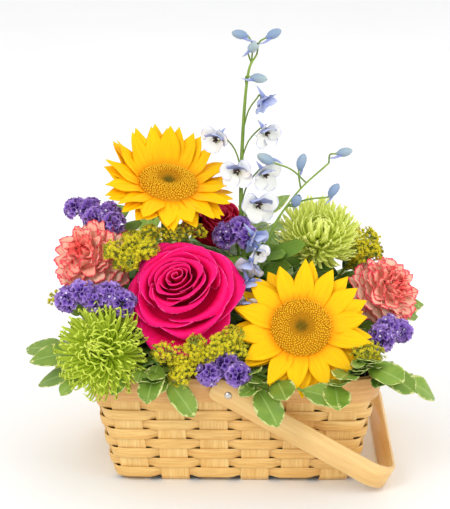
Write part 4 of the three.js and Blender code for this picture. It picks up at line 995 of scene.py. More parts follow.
# %% Grow the sunflowers
def sunflower(name, heart, face, reach, rise, grow, rounds, seed):
    """One sunflower: its disc, its green parts and its petals."""
    draw = random.Random(seed)
    bloom = Bloom(heart, face)
    bloom.keep_open(0.85 * reach)
    finish_piece(f"{name}_seed_disc", seed_disc(bloom, draw), [sun_disc], [f"{name}_disc"])
    finish_piece(f"{name}_bracts_and_stem", bracts_and_stem(name, bloom, draw), [sepal_green],
                 [f"{name}_green"], thick=0.5)
    finish_piece(f"{name}_ray_petals", ray_petals(bloom, reach, rise, grow, rounds, draw), [sun_petal],
                 [f"{name}_petals"], thick=0.45)


sunflower("sunflower_front", (51, -77, 128), (0.06, -0.78, 0.62), 54,
          lambda a: 0.12 + 0.16 * math.sin(a), lambda a: 1.0, (14, 13, 11), 3)
sunflower("sunflower_back", (-54, -11, 226), (0.14, -0.36, 0.92), 55,
          lambda a: 0.34 + 0.5 * math.sin(a), lambda a: 0.98 + 0.12 * math.sin(a), (16, 15, 12), 8)

# %% [markdown]
# ## Roses
# An open rose is a tight spiral at its heart and rounds of cupped petals outside, each leaning over
# the next. The inner ones stand up, the outer ones fall open, and every free edge rolls outwards,
# which with a painted highlight in a lighter colour along each edge draws the fine arcs that we see
# from the front. The inner rounds are mixed towards a darker red as painted shade towards the heart.
# Each round is a short profile of radius and height, whose last two points roll the edge over. A real
# rose is never quite round: the heart here sits above the middle and is drawn out to one side, and
# the outer petals come to a point. The rings are stretched for that, most near the heart.

# %% Rose finishes
# On both roses the lighter edge colour is a painted highlight along the rolled rims, and the shade mark
# mixes the inner rounds towards the dark root colour as painted shade towards the heart.
rose_pink_petal = petal_finish(
    "hot_pink_rose_petal", "BC0034", "F20A5E", "FA0C7A", edge="FF4C9E", edge_width=0.035,
    roughness=0.6, sheen=0.12, veins=9, root_reach=0.5, shade_dark=0.25)
rose_red_petal = petal_finish(
    "deep_red_rose_petal", "78001E", "C40036", "D40840", edge="E02854", edge_width=0.05,
    roughness=0.55, sheen=0.15, veins=9, root_reach=0.45, shade_dark=0.25)
print("rose finishes made")

# %% The rounds of a rose
# Each round: how many petals, their spread in degrees, where the first stands, how pointed they are,
# and their profile from (radius, height, share of the spread).
ROSE_ROUNDS = [
    (3, 150, 0.3, 0, [(3, -8, 0.4), (5.8, 0, 1), (6.0, 9.5, 1), (6.4, 13.0, 0.9), (7.4, 14.0, 0.85)]),
    (3, 142, 1.1, 0, [(4, -9, 0.4), (8.4, 0, 1), (8.8, 9.5, 1), (9.6, 13.4, 0.9), (11.0, 14.0, 0.85)]),
    (3, 150, 0.1, 0, [(4, -10, 0.4), (11.4, 0, 1), (12.0, 9.5, 1), (13.2, 13.2, 0.9), (15.0, 13.4, 0.85)]),
    (4, 126, 0.8, 0, [(4, -11, 0.4), (15.0, -1, 1), (16.2, 8.5, 1), (18.0, 12.4, 0.9), (20.4, 12.2, 0.85)]),
    (3, 158, 0.4, 0.08, [(5, -12, 0.4), (19.0, -3, 1), (21.4, 6.8, 1), (24.2, 10.8, 0.92),
                         (27.4, 9.8, 0.85)]),
    (4, 128, 1.2, 0.08, [(5, -13.5, 0.4), (24.4, -6, 1), (28.6, 3.0, 1), (32.6, 7.0, 0.92),
                         (36.0, 5.2, 0.8)]),
    (4, 126, 0.3, 0.08, [(5, -15, 0.4), (29.0, -10, 1), (35.0, -2.5, 1), (40.6, 2.0, 0.9),
                         (44.6, -0.8, 0.74)]),
    (5, 104, 0.66, 0.2, [(5, -17, 0.4), (31.0, -14.5, 1), (38.0, -9.0, 1), (47.0, -6.0, 0.8),
                         (52.6, -9.0, 0.5)]),
]
# The angle at which the heart is drawn out, and how much longer and shorter its rings are there.
ROSE_SLANT = (0.5, 1.34, 0.86)
HEART_TURNS = 1.7
print("petals of an open rose:", sum(row[0] for row in ROSE_ROUNDS))

# %% Draw the heart and the rounds
def rose_heart(petals, ring, size):
    """The tight spiral at the heart, as one rolled sheet."""
    spiral, marks = [], []
    for i in range(7):
        s = i / 6
        row = []
        for j in range(61):
            turn = j / 60
            angle = turn * HEART_TURNS * 2 * math.pi
            radius = (0.8 + 5.0 * turn) * (0.75 + 0.25 * s) * (1 + 0.08 * s * s)
            height = -6 + s * (20.4 - 1.2 * turn) + 0.5 * math.sin(5 * angle) * s
            row.append(ring.at(angle, radius * size, height))
        spiral.append(row)
        # The heart's shade of 0.9 is painted shade deep in the bloom.
        marks.append([(0.3 + 0.7 * s, 0, 0.9)] * len(row))
    petals.grid(spiral, marks=marks)


def rose_rounds(petals, bloom, size, rounds, aside, draw):
    """The rounds of cupped petals. Their rings come back to the middle of the face outwards."""
    off = bloom.right * aside[0] + bloom.top * aside[1]
    slant, longer, shorter = ROSE_SLANT
    for n, (many, spread, start, pointed, table) in enumerate(ROSE_ROUNDS[:rounds]):
        near = 1 - table[-1][0] / 48
        for k in range(many):
            tip_over = Vector([draw.uniform(-0.13, 0.13) for _ in range(3)]) * min(n / 3, 1)
            ring = Bloom(bloom.heart + off * near, bloom.out + tip_over)
            ring.stretch(slant, 1 + (longer - 1) * near, 1 + (shorter - 1) * near)
            angle = start + 2 * math.pi * k / many + draw.uniform(-0.3, 0.3)
            shift = draw.uniform(-1.8, 1.2)
            swell = draw.uniform(0.95 - 0.012 * n, 1.04)
            roll = draw.uniform(-0.9, 1.4)
            grown = [(r * size * swell, h + shift * min(1, r / 20), share) for r, h, share in table]
            radius, height, share = grown[-1]
            grown[-1] = (radius + 0.5 * roll, height - max(roll, 0) * min(n, 4) * 0.8, share)
            # The inner rounds get a larger shade, which the rose finishes paint as shade towards the heart.
            petals.grid(cup_petal(ring, angle, math.radians(spread * draw.uniform(0.94, 1.1)), grown,
                                  rows=14, cols=21, lean=draw.uniform(-0.03, 0.11),
                                  drop=draw.uniform(0.28, 0.4) + pointed,
                                  power=2.0 if n < 4 else draw.uniform(1.05, 1.7) - pointed,
                                  ruffle=0.3 + 0.2 * n, folds=draw.uniform(1.3, 2.3),
                                  phase=draw.uniform(0, 6)), shade=max(0.0, 1 - n / 6))


print("turns of the heart:", HEART_TURNS)

# %% Grow the roses
def sepals_and_stem(name, bloom):
    """The swollen hip under a rose, with five pointed sepals that fall open, and the stem."""
    green = Piece()
    depth = 20.5
    stem(green, name, bloom.at(0, 0, -depth - 5))
    hip = [(2.8, -depth - 9), (5.6, -depth - 6.5), (6.4, -depth - 3.5), (5.2, -depth - 0.5),
           (0.1, -depth)]
    green.grid(bloom.turned(hip, 20), ring=True)
    for k in range(5):
        angle = 2 * math.pi * (k + 0.5) / 5
        green.grid(ray_petal(bloom, angle, (4, -depth - 0.9), -0.25, 24, 7, BRACT_OUTLINE, curl=-0.5,
                             channel=0.25, rows=9, cols=5))
    return green


def rose(name, heart, face, size, rounds, aside, petal, seed):
    """One rose, with its heart some way aside of the middle of its face."""
    bloom = Bloom(heart, face)
    bloom.keep_open(40 * size)
    heart_ring = Bloom(bloom.heart + bloom.right * aside[0] + bloom.top * aside[1], face)
    heart_ring.stretch(*ROSE_SLANT)
    petals = Piece()
    rose_heart(petals, heart_ring, size)
    rose_rounds(petals, bloom, size, rounds, aside, random.Random(seed))
    finish_piece(f"{name}_cupped_petals", petals, [petal], [f"{name}_petals"], thick=0.45)
    finish_piece(f"{name}_sepals_and_stem", sepals_and_stem(name, bloom), [sepal_green],
                 [f"{name}_green"], thick=0.5)


rose("rose_pink", (-41, -74, 156), (-0.1, -0.82, 0.56), 1.0, 8, (-3.5, 9), rose_pink_petal, 5)
rose("rose_red", (-17, 18, 184), (0.25, -0.35, 0.9), 0.8, 6, (0, 0), rose_red_petal, 9)

# %% [markdown]
# ## Carnations
# A carnation packs forty or so fan-shaped petals into a half ball over a long green tube. Each petal
# has toothed edges and is gathered into tight ruffles, peach at the root and coral red at the teeth.
# The same cup builder makes them, with a strong ruffle and every second edge point pulled back. The
# petals nearer the heart are a deeper coral, which is their shade in the mark, and a small dome of
# the same colour inside them closes the gaps between their roots.

# %% Carnation finish and rounds
carnation_petal = petal_finish(
    "two_tone_carnation_petal", "FFE8C8", "FFE6CC", "FFD0B4", edge="EE3A5C", edge_width=0.16,
    roughness=0.65, sheen=0.15, veins=12, vein_depth=0.1, root_reach=0.3, shade_dark=0.8,
    deep="F6584E")
# Each round: how many petals, their spread in degrees, radius and height of the edge, and the height
# of the root.
CARNATION_ROUNDS = [
    (2, 220, 2.6, 20.0, 5.0), (3, 160, 6.8, 21.0, 4.0), (4, 124, 12.0, 20.2, 2.6),
    (5, 100, 17.0, 17.8, 1.0), (5, 96, 21.5, 14.8, -0.5), (6, 84, 26.0, 10.4, -2.5),
    (6, 80, 29.5, 5.0, -4.8), (7, 74, 32.2, -1.2, -7.0), (7, 74, 33.6, -7.6, -9.4),
]
CARNATION_ROOT = 4.5
CARNATION_CORE = [(0.1, 13), (8.5, 8.5), (15, 2.5), (20, -4), (24, -10)]
CARNATION_CALYX = [(2.4, -36), (5.0, -31), (6.2, -25), (6.9, -18), (6.8, -13), (0.1, -12.6)]


print("petals of a carnation:", sum(row[0] for row in CARNATION_ROUNDS))

# %% Grow the carnations
def carnation(name, heart, face, size, seed):
    """One carnation: its ruffled petals over a core, and its green tube with the stem."""
    draw = random.Random(seed)
    bloom = Bloom(heart, face)
    bloom.keep_open(32 * size)
    petals = Piece()
    for n, (many, spread, radius, height, root) in enumerate(CARNATION_ROUNDS):
        for k in range(many):
            tip_over = Vector([draw.uniform(-0.1, 0.1) for _ in range(3)])
            ring = Bloom(bloom.heart, bloom.out + tip_over)
            angle = 1.7 * n + 2 * math.pi * k / many + draw.uniform(-0.3, 0.3)
            far = radius * size * draw.uniform(0.93, 1.04)
            high = height * size + draw.uniform(-1.8, 1.2)
            run, climb = far - CARNATION_ROOT, high - root
            table = [(CARNATION_ROOT, root - 2, 0.25),
                     (CARNATION_ROOT + 0.42 * run, root + 0.5 * climb, 0.7),
                     (CARNATION_ROOT + 0.8 * run, root + 0.86 * climb, 1), (far, high, 1.05)]
            warm = max(0.08, 1.0 - 0.145 * n) * draw.uniform(0.35, 1.15)
            sheet = cup_petal(ring, angle, math.radians(1.16 * spread), table, rows=9, cols=37, drop=0.16,
                              ruffle=(4.8 - 0.22 * n) * size, folds=draw.uniform(1.7, 2.8), teeth=0.026,
                              phase=draw.uniform(0, 6), crinkle=0.8 * size)
            petals.grid(sheet, shade=warm)
    core = bloom.turned([(r * size, h * size) for r, h in CARNATION_CORE], 24)
    petals.grid(core, ring=True, marks=[[(0.5, 0, 0.8)] * 24] * len(core))
    finish_piece(f"{name}_ruffled_petals", petals, [carnation_petal], [f"{name}_petals"],
                 thick=0.35)

    green = Piece()
    stem(green, name, bloom.at(0, 0, -33))
    green.grid(bloom.turned(CARNATION_CALYX, 20), ring=True)
    finish_piece(f"{name}_calyx_and_stem", green, [sepal_green], [f"{name}_green"])


carnation("carnation_left", (-112, -28, 168), (-0.5, -0.62, 0.6), 1.05, 4)
carnation("carnation_right", (120, -12, 138), (0.58, -0.6, 0.55), 0.9, 6)

# %% [markdown]
# ## Green chrysanthemums
# The left bloom is a spider form: long narrow petals, rolled into channels, whose ends hook inwards.
# The right one is fuller, with shorter and wider petals that curve over its heart. Both spread their
# petals evenly over more than half a ball, again by the golden angle, and shorten them in the middle.

# %% Grow the chrysanthemums
lime_mum_petal = petal_finish(
    "lime_spider_chrysanthemum_petal", "A4C020", "C8DE3C", "E2EE64", sheen=0.15, veins=3,
    vein_depth=0.2, root_reach=0.35, shade_dark=0.3)
pale_mum_petal = petal_finish(
    "pale_green_chrysanthemum_petal", "C4D236", "E6F06A", "F4FA96", sheen=0.15, veins=3,
    vein_depth=0.2, root_reach=0.35, shade_dark=0.2)


def ribbon(path, side, halves, cup=0.5, cols=4):
    """A narrow channelled sheet along a path."""
    rows = []
    for i, point in enumerate(path):
        along = heading(path, i)
        across = (side - along * side.dot(along)).normalized()
        up = along.cross(across)
        row = []
        for j in range(cols):
            v = 2 * j / (cols - 1) - 1
            row.append(point + across * (v * halves[i]) + up * (cup * halves[i] * (v * v - 0.4)))
        rows.append(row)
    return rows


def chrysanthemum(name, heart, face, reach, many, hook, wide, seed, claws, petal, tall):
    """A ball of ribbons. They bend by hook, end in claws, and stand up as tall as a share of a ball."""
    draw = random.Random(seed)
    bloom = Bloom(heart, face)
    bloom.keep_open(0.8 * reach)
    piece = Piece()
    for n in range(many):
        height = 1 - 1.42 * (n + 0.5) / many
        flat = math.sqrt(max(1 - height * height, 0))
        way = (bloom.ray(n * GOLDEN) * flat + bloom.out * height).normalized()
        inward = bloom.out - way * bloom.out.dot(way)
        inward = inward.normalized() if inward.length > 1e-3 else bloom.top
        side = way.cross(inward)
        young = smooth_step((height - 0.55) / 0.45)
        length = (reach - 4) * draw.uniform(0.84, 1.05) * (1 - 0.42 * young)
        bend = hook * draw.uniform(0.5, 1.1) * (1 + 0.6 * young)
        sway = draw.uniform(-0.2, 0.2)
        path, halves = [], []
        for i in range(10):
            s = i / 9
            lift = -0.05 * math.sin(math.pi * s) + 0.32 * bend * max(0, s - 0.35) ** 1.6 / 0.5
            ahead = s - claws * max(0, s - 0.86) * 1.5
            step = way * (4 + length * ahead) + inward * (length * lift) + side * (length * sway * s * s)
            path.append(bloom.heart + step - bloom.out * (max(step.dot(bloom.out), 0) * (1 - tall)))
            half = wide * (0.55 + 0.45 * math.sin(math.pi * min(1, s * 1.15)))
            halves.append(half if i < 9 else 0.45 * half)
        piece.grid(ribbon(path, side, halves, cup=0.7), shade=1 - 0.8 * young if n % 3 else 0.4)
    stem(piece, name, bloom.at(0, 0, -5.5), finish=1)
    ball = [(0.1, -7.4), (3.5, -6.6), (6, -4), (7, 0), (6, 4), (3.5, 6.2), (0.1, 7)]
    piece.grid(bloom.turned([(r, h * tall) for r, h in ball], 16), finish=1, ring=True)
    finish_piece(f"{name}_bloom", piece, [petal, sepal_green], [name], thick=0.35)


chrysanthemum("chrysanthemum_left", (-101, -87, 111), (-0.35, -0.8, 0.48), 43, 320, 0.9, 1.05, 12, 1.0,
              lime_mum_petal, 1.0)
chrysanthemum("chrysanthemum_right", (66, 1, 180), (0.05, -0.5, 0.86), 36, 320, 1.3, 1.8, 14, 0.3,
              pale_mum_petal, 0.8)

# %% [markdown]
# ## Delphiniums
# A delphinium carries spurred buds on thin stalks and opens from below. The sepals are cool white
# inside and lavender blue behind, with a dark tufted eye, and a hollow spur runs back over the
# stalk. The top sepal nods over the eye as a hood and shows its lavender back. The buds are turned
# bars with five soft ridges. An open floret is five broad petals, each with a second sheet behind it
# for the blue side, because one material can't tell the two sides of a thin sheet apart.

# %% Delphinium finishes
delphinium_bud = petal_finish(
    "blue_delphinium_bud", "A6B886", "8EA4BC", "B2C2C0", roughness=0.55, sheen=0.1, veins=6,
    vein_depth=0.3, root_reach=0.2, shade_dark=0.6, deep="6E88BE")
delphinium_white = petal_finish(
    "white_delphinium_petal", "D2DAB4", "F8F7EE", "F4F4F2", edge="D2D2EA", edge_width=0.12, sheen=0.1,
    veins=5, vein_depth=0.12)
delphinium_back = petal_finish(
    "lavender_delphinium_petal", "6E7CBC", "98A4D4", "BCC4E4", sheen=0.1, veins=6, root_reach=0.3)
delphinium_stalk = living_green("olive_delphinium_stalk", "4A6A1A", "86A43C")
delphinium_eye = petal_finish(
    "dark_delphinium_eye", "1B1512", "3A2E2B", "6B5A4A", roughness=0.7, sheen=0.1)
DELPHINIUM_FINISHES = [delphinium_bud, delphinium_stalk, delphinium_white, delphinium_back,
                       delphinium_eye]
BUD, STALK, WHITE, LAVENDER, EYE = range(5)
print("delphinium finishes made:", len(DELPHINIUM_FINISHES))

# %% Draw a bud and an open floret
SEPAL_OUTLINE = [(0, 0.35), (0.25, 0.8), (0.6, 1.0), (0.85, 0.75), (1, 0.25)]
# The share of a bud's length and the radius there, in millimetres.
BUD_PROFILE = [(-0.14, 0.7), (0, 1.7), (0.14, 3.1), (0.36, 3.95), (0.6, 3.8), (0.8, 3.0), (0.93, 1.9),
               (1.0, 0.8)]
BUD_LENGTH = 13.5


def bud(piece, start, at, way, size, draw):
    """A folded bud with its spur, on a stalk that bends into it."""
    way = way.normalized()
    middle = start.lerp(at, 0.55) + UP * 3 - way * 3
    piece.tube(path_through([start, middle, at - way * 1.5], 10), 0.75, sides=6, finish=STALK)
    side, other = sides_of(way)
    rows = []
    for s, radius in BUD_PROFILE:
        ring = []
        for j in range(20):
            a = 2 * math.pi * j / 20
            swell = radius * size * (1 + 0.1 * math.cos(5 * a + 3 * s))
            round_it = (side * math.cos(a) + other * math.sin(a)) * swell
            ring.append(at + way * (s * BUD_LENGTH * size) + round_it)
        rows.append(ring)
    piece.grid(rows, finish=BUD, ring=True, shade=draw.random())
    curl = side * draw.choice((-1, 1))
    spur = [at + way * 3 + curl * 2, at - way * 3 + curl * 3.4, at - way * 8 + curl * 2.6]
    piece.tube(path_through(spur, 6), [1.3, 1.2, 1.1, 0.9, 0.7, 0.5, 0.25], sides=8, finish=LAVENDER,
               shade=draw.random())


def open_floret(piece, start, at, face, size, front, draw):
    """Five broad sepals round a dark eye, with a spur behind, on a short stalk."""
    bloom = Bloom(at, face)
    behind = bloom.at(0, 0, -3)
    beside = start.lerp(behind, 0.3)
    beside.z = 0.35 * start.z + 0.65 * behind.z
    arch = [start, beside, start.lerp(behind, 0.75) + UP * (4 + 0.12 * (behind.z - start.z)),
            behind + UP * 2.5 - bloom.out * 2, behind]
    piece.tube(path_through(arch, 12), 0.7, sides=6, finish=STALK)
    spur = [bloom.at(1.6, 2, -1), bloom.at(1.6, 5, -7), bloom.at(1.6, 7, -12)]
    piece.tube(path_through(spur, 6), [2.4, 2.0, 1.6, 1.2, 0.9, 0.6, 0.3], sides=8, finish=LAVENDER,
               shade=draw.random())
    for k in range(5):
        hood = k == 0
        angle = math.pi / 2 + 2 * math.pi * k / 5 + draw.uniform(-0.2, 0.2)
        wide = draw.uniform(10.5, 13.5) * size * (1.15 if hood else 1)
        tilt = 0.75 if hood else draw.uniform(0.35, 0.75)
        root = (1.0, -0.6 - 0.4 * (k % 2))
        sheet = ray_petal(bloom, angle, root, tilt, draw.uniform(11.0, 13.0) * size, wide,
                          SEPAL_OUTLINE, curl=0.8 if hood else draw.uniform(-0.8, 0.3),
                          channel=0.35 if hood else draw.uniform(-0.1, 0.25), ripple=1.0, waves=1.6,
                          phase=draw.uniform(0, 6), twist=draw.uniform(-0.3, 0.3), rows=9, cols=9)
        piece.grid(sheet, finish=LAVENDER if hood else front, shade=draw.random())
        under = [[point - bloom.out * 0.35 for point in row] for row in sheet]
        piece.grid(under, finish=LAVENDER, shade=draw.random())
    for k in range(5):
        angle = 2 * math.pi * k / 5 + draw.uniform(-0.3, 0.3)
        tuft = ray_petal(bloom, angle, (0.3, 0.6), 1.1, 3.4 * size, 2.0, SEPAL_OUTLINE, curl=-0.6,
                         rows=4, cols=3)
        piece.grid(tuft, finish=EYE, shade=draw.random())


print("bud length in mm:", BUD_LENGTH)

# %% Grow the delphiniums
def delphinium(name, spine, slim, reach, buds, florets, seed):
    """One spike. Its stalks leave the spine where they are short and rise by about a reach."""
    draw = random.Random(seed)
    piece = Piece()
    steps = 12
    whole = path_through(STEMS[name][1:5], steps) + path_through(spine, 40)
    radii = []
    for i in range(len(whole)):
        share = max(0, i - steps) / (slim * (len(whole) - steps - 1))
        radii.append(2.2 - 1.45 * min(1, share))
    piece.tube(whole, radii, sides=10, finish=STALK)
    curve = path_through(spine, 60)

    def joint(tip):
        return min(curve, key=lambda q: (q - tip).length + abs(tip.z - q.z - reach) * 0.9)

    for at, way in buds:
        bud(piece, joint(Vector(at)), Vector(at), Vector(way), draw.uniform(0.88, 1.02), draw)
    for at, face, size, front in florets:
        size *= draw.uniform(0.95, 1.05)
        open_floret(piece, joint(Vector(at)), Vector(at), face, size, front, draw)
    finish_piece(f"{name}_spike", piece, DELPHINIUM_FINISHES, [name])


delphinium("delphinium_tall",
           [(8, -16, 150), (4, -10, 205), (5, 6, 262), (9, 12, 310), (16, 13, 326)], 1.0, 24,
           [((8, 13, 340), (-1, 0, 0.25)), ((24, 15, 339), (1, 0, 0.5)), ((10, 11, 329), (0.5, -0.6, 0.5)),
            ((12, 10, 308), (0.9, -0.3, -0.1))],
           [((22, 7, 289), (0.75, -0.35, -0.5), 0.9, LAVENDER),
            ((23, 2, 265), (0.5, -0.8, -0.1), 1.1, WHITE),
            ((-15, 0, 260), (-0.5, -0.8, 0), 1.15, WHITE),
            ((1, -10, 236), (-0.2, -0.95, 0.1), 1.25, WHITE),
            ((22, -6, 233), (0.5, -0.8, -0.1), 1.15, WHITE),
            ((17, -14, 210), (0.3, -0.92, 0.05), 1.3, WHITE)], 21)
delphinium("delphinium_leaning", [(22, -26, 172), (32, -22, 198), (50, -18, 223), (73, -14, 244)], 0.5, 14,
           [((29, -8, 243), (-1, 0, 0.5)), ((50, -9, 238), (0.3, 0, 1)), ((80, -6, 250), (1, 0, 0.2)),
            ((46, -16, 210), (0.3, -0.6, 0.8)), ((74, -12, 217), (0.6, 0, 0.8))],
           [((14, -42, 190), (0.75, -0.5, -0.3), 1.0, LAVENDER),
            ((12, -54, 172), (-0.5, -0.7, -0.5), 1.0, WHITE),
            ((17, -50, 181), (0.5, -0.8, -0.2), 0.85, WHITE),
            ((9, -58, 158), (0.4, -0.75, -0.5), 0.95, LAVENDER),
            ((9, -62, 143), (-0.3, -0.85, -0.3), 0.9, WHITE)], 22)

# %% [markdown]
# ## Statice
# Statice keeps its colour because what we see is a papery calyx, a small pleated funnel about 5 mm
# across with a ragged edge, packed in combs at the ends of winged stems. Each funnel is a short
# tube that opens to a pleated rim, and a few hold a tiny pale corolla.

# %% Grow the statice
statice_calyx = petal_finish(
    "papery_statice_calyx", "6236A4", "905ECE", "D0B0F2", roughness=0.85, sheen=0.2, veins=4,
    vein_depth=0.35, root_reach=0.4, shade_dark=0.5)
statice_corolla = petal_finish(
    "pale_statice_corolla", "C9B7EC", "E4D8F5", "F3EEFA", roughness=0.7, sheen=0.3)
FUNNELS_IN_A_HEAD = 34


def funnel(piece, foot, way, long, wide, draw):
    """A pleated funnel. About one in six holds a small pale star."""
    side, other = sides_of(way)
    spin = draw.uniform(0, 6.28)
    shade = draw.random()
    turn = [spin + 2 * math.pi * j / 10 for j in range(10)]
    rays = [side * math.cos(a) + other * math.sin(a) for a in turn]
    rows = []
    for s, radius in ((0, 0.35), (0.45, 0.6), (0.8, 0.62 * wide), (1.0, wide)):
        ring = []
        for j, ray in enumerate(rays):
            pleat = 1 + (0.22 if j % 2 else -0.18) * s
            ring.append(foot + way * (long * s * (1 + 0.06 * (j % 2))) + ray * radius * pleat)
        rows.append(ring)
    piece.grid(rows, ring=True, shade=shade)
    if draw.random() < 0.16:
        tip = foot + way * long * 0.92
        star = [tip + way * 0.7 + ray * (1.5 if j % 2 else 0.6) for j, ray in enumerate(rays)]
        piece.fan(tip, star, finish=1, mark=(0.3, 0, shade), edge=(1, 0, shade))


def statice(name, heart, face, wide, heads, seed):
    """A spray: round heads of funnels side by side, each on a twig from one fork."""
    draw = random.Random(seed)
    bloom = Bloom(heart, face)
    piece = Piece()
    fork = bloom.at(0, 0, -16)
    stem(piece, name, fork, finish=2)
    for i in range(heads):
        along = 2 * i / (heads - 1) - 1
        higher = draw.uniform(2, 5) if i % 2 else draw.uniform(-4, -1)
        centre = bloom.heart + bloom.right * along * wide + bloom.top * higher
        centre += bloom.out * draw.uniform(-2, 2)
        fat = draw.uniform(0.72, 0.88)
        twig = path_through([fork, fork.lerp(centre, 0.6) + bloom.out * 2, centre], 6)
        piece.tube(twig, 0.9, sides=6, finish=2)
        away = (bloom.out + bloom.right * 0.5 * along).normalized()
        head = Bloom(centre, away)
        for n in range(FUNNELS_IN_A_HEAD):
            height = 1 - 1.25 * (n + 0.5) / FUNNELS_IN_A_HEAD
            flat = math.sqrt(max(1 - height * height, 0))
            tip_over = Vector([draw.uniform(-0.12, 0.12) for _ in range(3)])
            way = (head.ray(n * GOLDEN) * flat + head.out * height + tip_over).normalized()
            reach = draw.uniform(10.5, 13.6) * fat
            funnel(piece, centre + way * 2, way, reach - 2, draw.uniform(2.5, 3.3), draw)
    finish_piece(f"{name}_spray", piece, [statice_calyx, statice_corolla, stem_green], [name])


statice("statice_left_high", (-112, -2, 198), (-0.4, -0.4, 0.8), 24, 5, 2)
statice("statice_left_low", (-108, -70, 149), (-0.2, -0.8, 0.55), 22, 5, 7)
statice("statice_middle", (2, -18, 187), (-0.3, -0.8, 0.6), 9, 3, 11)
statice("statice_front", (-8, -96, 101), (-0.1, -0.9, 0.4), 11, 3, 13)
statice("statice_right", (122, -44, 114), (0.6, -0.7, 0.3), 12, 3, 17)

# %% [markdown]
# ## Solidago
# Solidago, or goldenrod, is a cloud of flower heads only 3 mm across on arching twigs. From a little
# way off it looks like yellow crumbs with olive shadows between them. Each head here is a small star
# with a tuft over a green cup, set round its twig in the golden angle, and every third one has its
# own stalk. Side twigs fill the places between the blooms, where a head grows only if it has room.

# %% Solidago finishes and flower heads
solidago_head = petal_finish(
    "solidago_flower_head", "B2A010", "E6D61E", "FCF040", roughness=0.75, sheen=0.1, veins=2,
    vein_depth=0.3, root_reach=0.5, shade_dark=0.35)
solidago_twig = living_green("solidago_twig", "5E7A1E", "B4BC3A", 0.6)


def flower_head(piece, foot, way, size, draw):
    """One head: a cup, a star of seven rays and a tuft."""
    side, other = sides_of(way)
    spin = draw.uniform(0, 6.28)
    shade = draw.random()

    def ray(j, count):
        a = spin + 2 * math.pi * j / count
        return side * math.cos(a) + other * math.sin(a)

    def ring(height, radius, count=6):
        return [foot + way * height * size + ray(j, count) * radius * size for j in range(count)]

    piece.grid([ring(0, 0.25), ring(1.3, 0.75)], finish=1, ring=True, shade=shade)
    star = []
    for j in range(14):
        long = (2.1 if j % 2 else 0.8) * size
        star.append(foot + way * (1.5 + 0.5 * (j % 2)) * size + ray(j, 14) * long)
    piece.fan(foot + way * 1.9 * size, star, mark=(0.2, 0, shade), edge=(1, 0, shade))
    tuft = ring(2.3, 0.7, 5)
    piece.fan(foot + way * 3.0 * size, tuft, mark=(1, 0, shade), edge=(0.4, 0, shade))


print("solidago finishes made: 2")

# %% Draw a plume
def plume(piece, start, end, lift, many, fat, draw, picky=False):
    """A twig with its heads. They stand mostly on the side of its lift."""
    path = path_through([start, start.lerp(end, 0.55) + lift * 5, end], 12)
    piece.tube(path, [1.1 - 0.06 * i for i in range(13)], sides=6, finish=1)
    along = (end - start).normalized()
    across = (lift - along * lift.dot(along)).normalized()
    third = along.cross(across)
    for n in range(many):
        s = 0.12 + 0.88 * ((n + 0.5) / many)
        base = path[min(int(s * 12), 12)]
        angle = n * GOLDEN + draw.uniform(-0.3, 0.3)
        way = across * (math.cos(angle) + 0.25) + third * math.sin(angle) + along * 0.45
        way = way.normalized()
        swell = 0.35 + 0.75 * math.sin(math.pi * min(1, s * 0.88 + 0.06))
        reach = fat * swell * draw.uniform(0.45, 1.0)
        foot = base + way * reach
        if not room(foot, 2.4 if picky else 0.1):
            continue
        if n % 3 == 0:
            stalk = [base, base.lerp(foot, 0.5) - along * 0.8, foot]
            piece.tube(stalk, 0.35, sides=4, finish=1, closed=False)
        tip_over = Vector([draw.uniform(-0.4, 0.4) for _ in range(3)])
        flower_head(piece, foot, (way + tip_over).normalized(), draw.uniform(0.8, 1.1), draw)


def seeded(seed):
    """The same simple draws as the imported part's source makes."""
    state = seed

    def draw():
        nonlocal state
        state = (state * 1664525 + 1013904223) % 4294967296
        return state / 4294967296

    return draw


print("first draw of seed 21:", round(seeded(21)(), 3))

# %% Grow the solidago
def solidago(name, heart, face, size, tries, many, fat, seed, side_twigs):
    """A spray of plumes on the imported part's twigs, with side twigs.

    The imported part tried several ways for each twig. A digit in tries says which one fitted, and an
    x that none did.
    """
    turns, draw = seeded(seed), random.Random(seed)
    bloom = Bloom(heart, face)
    piece = Piece()
    stem(piece, name, bloom.at(0, 0, -14), finish=1)
    for b, step in enumerate(tries):
        a = 2 * math.pi * (b + 0.4 * turns()) / len(tries)
        wide = math.hypot(size[0] * math.cos(a), size[1] * math.sin(a))
        if step == "x":
            continue
        k = int(step)
        start = bloom.at(a, 1.6, -13.6)
        end = bloom.at(a + 0.12 * k, wide * (1 - 0.08 * k), 2 * k - 2)
        plume(piece, start, end, bloom.out, many, fat, draw)
    plume(piece, bloom.at(0, 0.5, -13), bloom.at(0.5, 2, 2), bloom.top, int(many * 0.7), fat, draw)
    for start, end in side_twigs:
        plume(piece, Vector(start), Vector(end), UP, many, fat, draw, picky=True)
    finish_piece(f"{name}_plumes", piece, [solidago_head, solidago_twig], [name])


